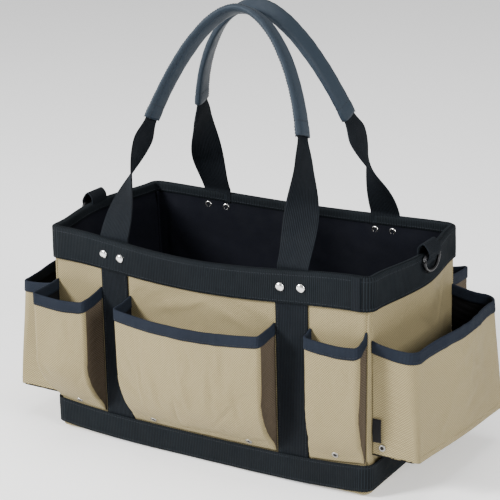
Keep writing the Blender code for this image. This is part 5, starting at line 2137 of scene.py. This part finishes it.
@dataclass
class Hardware:
    """Rivets, eyelets, D-rings, their tabs and the blank side label."""

    wardrobe: Wardrobe
    ribs: Tree
    fittings: Tree
    seams: StitchBook
    rivet_spacing: float = 24.0 * MM
    rivet_drop: float = 19.0 * MM
    cap: float = 5.0 * MM
    back: float = 4.6 * MM
    wire: float = 2.0 * MM
    ring_width: float = 33.0 * MM
    ring_height: float = 15.0 * MM
    ring_reach: float = 6.5 * MM
    ring_drop: float = 1.5 * MM
    tab_width: float = 29.0 * MM
    tab: float = 1.5 * MM
    tab_lift: float = 11.0 * MM
    label_lift: float = 0.8 * MM
    label_cloth: float = 0.8 * MM

    def build(self) -> None:
        """Make every fitting."""
        self.rivets()
        self.eyelets()
        for side in (Side.LEFT, Side.RIGHT):
            self.ring(side)
            self.ring_tab(side)
        self.label()

    def scatter(self, name: str, profile: list[tuple[float, float]], spots: list,
                nodes: list[str], finish: object = NICKEL) -> None:
        """Set one turned fitting at each spot.

        Args:
            name: Name of the piece.
            profile: The fitting's outline.
            spots: Places and facing directions.
            nodes: The solids that they stand for.
            finish: Their finish.
        """
        shape = bpy.data.objects.new(name + "_shape", turned_mesh(name, profile, 28))
        mesh = bpy.data.meshes.new(name + "_spots")
        mesh.from_pydata([tuple(place) for place, _ in spots], [], [])
        way = mesh.attributes.new(FACING_NAME, "FLOAT_VECTOR", "POINT")
        way.data.foreach_set("vector", np.array([d for _, d in spots], np.float32).ravel())
        piece = add_piece(name, mesh, self.wardrobe[finish])
        run_tree(piece, self.fittings, {"Fitting": shape, "Material": self.wardrobe[finish]})
        bpy.data.objects.remove(shape)
        dress(piece, "bag", "nickel", *nodes)

    def rivets(self) -> None:
        """Domed caps outside and ring backs inside, eight of each."""
        outer = LAYERS.band_out + LAYERS.band + 0.25 * MM
        inner = LAYERS.band_inner
        inner += float(LAYERS.lean(SHAPE.height - self.rivet_drop))
        rise, thin = 2.6 * MM, 1.4 * MM
        profile = [(0.0, outer + rise * 0.93), (self.cap * 0.25, outer + rise * 0.97)]
        for turn in np.linspace(0.45, math.pi / 2, 7):
            profile.append((self.cap * math.sin(turn), outer + 0.5 * MM
                            + (rise - 0.5 * MM) * math.cos(turn)))
        profile += [(self.cap * 0.97, outer), (1.6 * MM, outer), (1.6 * MM, inner),
                    (self.back, inner), (self.back, inner - thin * 0.5),
                    (self.back * 0.85, inner - thin * 0.95), (self.back * 0.62, inner - thin),
                    (self.back * 0.42, inner - thin * 0.6), (self.back * 0.38, inner - thin * 0.1),
                    (0.0, inner - thin * 0.1)]
        spots, nodes = [], []
        for side in (Side.FRONT, Side.REAR):
            for strap, middle in (("left", -LAYERS.strap_place), ("right", LAYERS.strap_place)):
                for index, shift in enumerate((-0.5, 0.5), 1):
                    x = middle + shift * self.rivet_spacing
                    along = x if side == Side.FRONT else -x
                    level = SHAPE.height - self.rivet_drop
                    place = SHAPE.point(side, along, level)
                    step = (SHAPE.point(side, along + MM, level)
                            - SHAPE.point(side, along - MM, level))
                    rise_way = (SHAPE.point(side, along, level + MM)
                                - SHAPE.point(side, along, level - MM))
                    way = np.cross(step, rise_way)
                    spots.append((place, way / np.linalg.norm(way)))
                    nodes.append(f"{side.label}_{strap}_rivet_{index}")
        self.scatter("rivets", profile, spots, nodes)

    def eyelets(self) -> None:
        """Rolled eyelets where the plain ones sit, each with a dark disc in its hole that paints
        the shadow inside it.
        """
        profile = []
        half, hole, radius = 0.75 * MM, 1.9 * MM, 4.0 * MM
        for turn in np.linspace(0, math.pi, 7):
            profile.append((mix(hole, radius, (1 - math.cos(turn)) / 2),
                            half + 0.55 * MM * math.sin(turn)))
        profile += [(r, -z) for r, z in profile[::-1]]
        spots, nodes = [], []
        for name, node in sorted(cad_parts.items()):
            if "_eyelet_" not in name:
                continue
            points = points_of(node.data)
            centre = (points.min(0) + points.max(0)) / 2
            _, _, axes = np.linalg.svd(points - points.mean(0), full_matrices=False)
            spots.append(self.on_cloth(name.split("_eyelet_")[0], centre, axes[2]))
            nodes.append(name)
        self.scatter("pocket_eyelets", profile, spots, nodes, SHADED_NICKEL)
        # A dark disc in each hole: painted shadow where the hole looks into the pocket.
        hole_shadow_disc = [(0.0, half + 0.35 * MM), (hole + 0.3 * MM, half + 0.35 * MM),
                (hole + 0.3 * MM, half), (0.0, half)]
        self.scatter("eyelet_hollows", hole_shadow_disc, spots, [], HOLE_PAINTED_SHADOW)

    @staticmethod
    def on_cloth(pocket: str, centre: Array, axis: Array) -> tuple:
        """Move a fitting onto its pocket's cloth, facing out of the pocket.

        Args:
            pocket: Name of the pocket's solid.
            centre: The fitting's place on the plain pocket.
            axis: Its axis there, either way along.

        Returns:
            The place in the middle of the cloth and the way that the cloth faces.
        """
        cloth = bpy.data.objects[pocket + "_cloth"]
        inside = Vector(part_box(pocket)[0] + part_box(pocket)[1]) / 2
        way = Vector(axis)
        if way.dot(Vector(centre) - inside) < 0:
            way.negate()
        start = Vector(centre) + way * 12 * MM
        hit, place, normal, _ = cloth.ray_cast(start, -way, distance=30 * MM)
        if not hit:
            return centre, np.array(way)
        return np.array(place - normal * 0.45 * MM), np.array(normal)

    def bar(self, side: Side) -> Array:
        """Middle of a D-ring's bar.

        Args:
            side: The wall.

        Returns:
            The point.
        """
        wall = SHAPE.point(side, 0.0, SHAPE.height)
        away = np.append(NORMALS[side], 0.0)
        return wall + away * self.ring_reach - self.ring_drop * UP

    def ring(self, side: Side) -> None:
        """A wire D-ring that hangs from its bar.

        Args:
            side: The wall.
        """
        half = self.ring_width / 2 + self.wire
        drop = self.ring_height + 2 * self.wire
        straight = drop * 0.2
        corner = 4 * MM
        points = [(x, 0.0) for x in np.linspace(-half + corner, half - corner, 10)]
        points += [(half - corner + corner * math.sin(a), -corner + corner * math.cos(a))
                   for a in np.linspace(0, math.pi / 2, 6)[1:]]
        points += [(half * math.cos(a), -straight - corner * 0.4
                    - (drop - straight - corner * 0.4) * math.sin(a))
                   for a in np.linspace(0, math.pi, 40)]
        points += [(-half + corner - corner * math.sin(a), -corner + corner * math.cos(a))
                   for a in np.linspace(math.pi / 2, 0, 6)[:-1]]
        centre = self.bar(side)
        tangent = np.append(TANGENTS[side], 0.0)
        line = np.array([centre + tangent * x + z * UP for x, z in points])
        closed = np.concatenate([line[-1:], line, line[:1]])
        grid, uv = tube_grid(closed, self.wire, 14)
        grid = np.concatenate([grid[1:-1], grid[1:2]])
        uv = uv[1:]
        name = f"{side.label}_ring_wire"
        mesh = grid_mesh(name, grid, uv, wrap=True)
        face_outwards(mesh, SAME_PLACE)
        piece = add_piece(name, mesh, self.wardrobe[DARK_METAL])
        dress(piece, f"{side.label}_ring", "dark_metal", f"{side.label}_d_ring")

    def ring_tab(self, side: Side) -> None:
        """The loop of webbing that holds a D-ring's bar.

        Args:
            side: The wall.
        """
        wall = SHAPE.point(side, 0.0, SHAPE.height)
        away = np.append(NORMALS[side], 0.0)
        tangent = np.append(TANGENTS[side], 0.0)
        clear = self.wire + LAYERS.gap
        reach, low, ease_out = self.ring_reach, -self.ring_drop, 1.2 * MM
        end = LAYERS.band_out + LAYERS.band + 2 * LAYERS.gap
        outline = [(-4 * MM, -2 * MM), (-4 * MM, 2.5 * MM), (-3 * MM, self.tab_lift * 0.66),
                   (reach * 0.3, self.tab_lift + 0.7 * MM),
                   (reach * 0.95, self.tab_lift * 0.78 + 0.5 * MM),
                   (reach + clear + ease_out + 0.6 * MM, low + clear),
                   (reach + clear * 0.6, low - clear - ease_out * 0.7 - 0.7 * MM),
                   (end, low - clear - ease_out - 0.7 * MM), (end, low - clear - 8 * MM)]
        path = smooth_path([np.array([out, up, 0.0]) for out, up in outline], 8)
        centre = np.array([wall + away * p[0] + p[1] * UP for p in path])
        step = np.gradient(centre, axis=0)
        out = np.cross(tangent, step)
        out /= np.linalg.norm(out, axis=1)[:, None]
        name = f"{side.label}_tab_loop"
        mesh = sweep_strip(name, centre, tangent, out, self.tab_width, self.tab, 0.5 * MM)
        piece = ribbed_piece(name, mesh, self.wardrobe[WEBBING], self.ribs, STRIP_PITCH,
                             0.14 * MM)
        dress(piece, "bag", "webbing", f"{side.label}_ring_tab")

    def label(self) -> None:
        """A small blank woven label, folded and slightly lifted."""
        low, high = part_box("side_label")
        share = np.linspace(0, 1, 24)
        middle = (low + high) / 2
        centre = np.stack([share * 0 + middle.x,
                           middle.y - self.label_lift * np.sin(math.pi * share),
                           np.linspace(low.z, high.z, len(share))], 1)
        mesh = sweep_strip("side_label_cloth", centre, TO_RIGHT, TO_FRONT, high.x - low.x,
                           self.label_cloth, self.label_cloth)
        dress(add_piece("side_label_cloth", mesh, self.wardrobe[LABEL]), "bag", "label",
              "side_label")


# ---- Stage ---------------------------------------------------------------------------
@dataclass(frozen=True)
class Stage:
    """Camera, floor and soft light."""

    azimuth: float = 31.2
    elevation: float = 18.0
    roll: float = 1.31
    distance: float = 1.9008
    target: tuple[float, float, float] = (-0.0066, 0.0, 0.2190)
    lens: float = 118.6
    sensor: float = 36.0
    shift: tuple[float, float] = (0.0044, -0.0022)
    floor_half: float = 12.0
    floor_drop: float = 0.4 * MM
    sky: float = 0.5                 # strength of the light from all round
    lamps: tuple[tuple[str, tuple[float, float, float], float, float], ...] = (
        ("key", (-1.5, -2.0, 1.5), 0.6, 150.0), ("fill", (2.5, -0.9, 1.5), 0.9, 70.0),
        ("top", (0.0, 0.3, 2.6), 1.6, 34.0))

    def build(self, wardrobe: Wardrobe) -> None:
        """Place the camera, the floor and the lights.

        Args:
            wardrobe: The finishes.
        """
        a, e = math.radians(self.azimuth), math.radians(self.elevation)
        back = Vector((math.sin(a) * math.cos(e), -math.cos(a) * math.cos(e), math.sin(e)))
        data = bpy.data.cameras.new("studio_camera")
        data.lens, data.sensor_width = self.lens, self.sensor
        data.shift_x, data.shift_y = self.shift
        camera = bpy.data.objects.new("studio_camera", data)
        bpy.context.scene.collection.objects.link(camera)
        camera.location = Vector(self.target) + back * self.distance
        turn = (-back).to_track_quat("-Z", "Y").to_matrix().to_4x4()
        spin = Matrix.Rotation(-math.radians(self.roll), 4, "Z")
        camera.matrix_world = Matrix.Translation(camera.location) @ turn @ spin
        bpy.context.scene.camera = camera
        self.floor(wardrobe)
        for lamp in self.lamps:
            self.light(*lamp)
        world = bpy.data.worlds.new("studio")
        world.use_nodes = True
        sky = world.node_tree.nodes["Background"]
        sky.inputs["Color"].default_value = (1.0, 1.0, 1.0, 1.0)
        sky.inputs["Strength"].default_value = self.sky
        bpy.context.scene.world = world

    def floor(self, wardrobe: Wardrobe) -> None:
        """A plain pale floor.

        Args:
            wardrobe: The finishes.
        """
        mesh = bpy.data.meshes.new("floor")
        half = self.floor_half
        mesh.from_pydata([(-half, -half, 0), (half, -half, 0), (half, half, 0),
                          (-half, half, 0)], [], [(0, 1, 2, 3)])
        piece = add_piece("floor", mesh, wardrobe[FLOOR])
        piece.location.z = -self.floor_drop

    @staticmethod
    def light(name: str, place: tuple[float, float, float], size: float, power: float) -> None:
        """A large soft light aimed at the bag.

        Args:
            name: Name of the lamp.
            place: Where it stands.
            size: Its width.
            power: Watts.
        """
        data = bpy.data.lights.new(name, "AREA")
        data.size, data.energy = size, power
        lamp = bpy.data.objects.new(name, data)
        lamp.location = place
        lamp.rotation_mode = "QUATERNION"
        aim = Vector((0, 0, 0.2)) - Vector(place)
        lamp.rotation_quaternion = aim.to_track_quat("-Z", "Y")
        bpy.context.scene.collection.objects.link(lamp)


def main() -> None:
    """Build the bag round its frame, piece by piece."""
    logging.basicConfig(level=logging.INFO, format="%(name)s %(message)s")
    wardrobe = Wardrobe()
    ribs, stitches, fittings = rib_tree(), stitch_tree(), fitting_tree()
    seams = StitchBook("canvas_stitches", "bag", CANVAS_THREAD, "canvas")
    dark_seams = StitchBook("webbing_stitches", "bag", DARK_THREAD, "webbing")
    Shell(wardrobe, seams).build()
    Harness(wardrobe, ribs, dark_seams).build()
    pockets = pocket_plan()
    sheets = [pocket.cut_out(wardrobe) for pocket in pockets]
    Slack().relax(sheets)
    for pocket, sheet in zip(pockets, sheets):
        pocket.finish(sheet, wardrobe, seams, dark_seams)
    for name, side in (("front", Side.FRONT), ("rear", Side.REAR)):
        Handle(name, side).build(wardrobe, ribs, stitches)
    Hardware(wardrobe, ribs, fittings, dark_seams).build()
    seams.sew(stitches, wardrobe)
    dark_seams.sew(stitches, wardrobe)
    Stage().build(wardrobe)


if __name__ == "__main__":
    main()
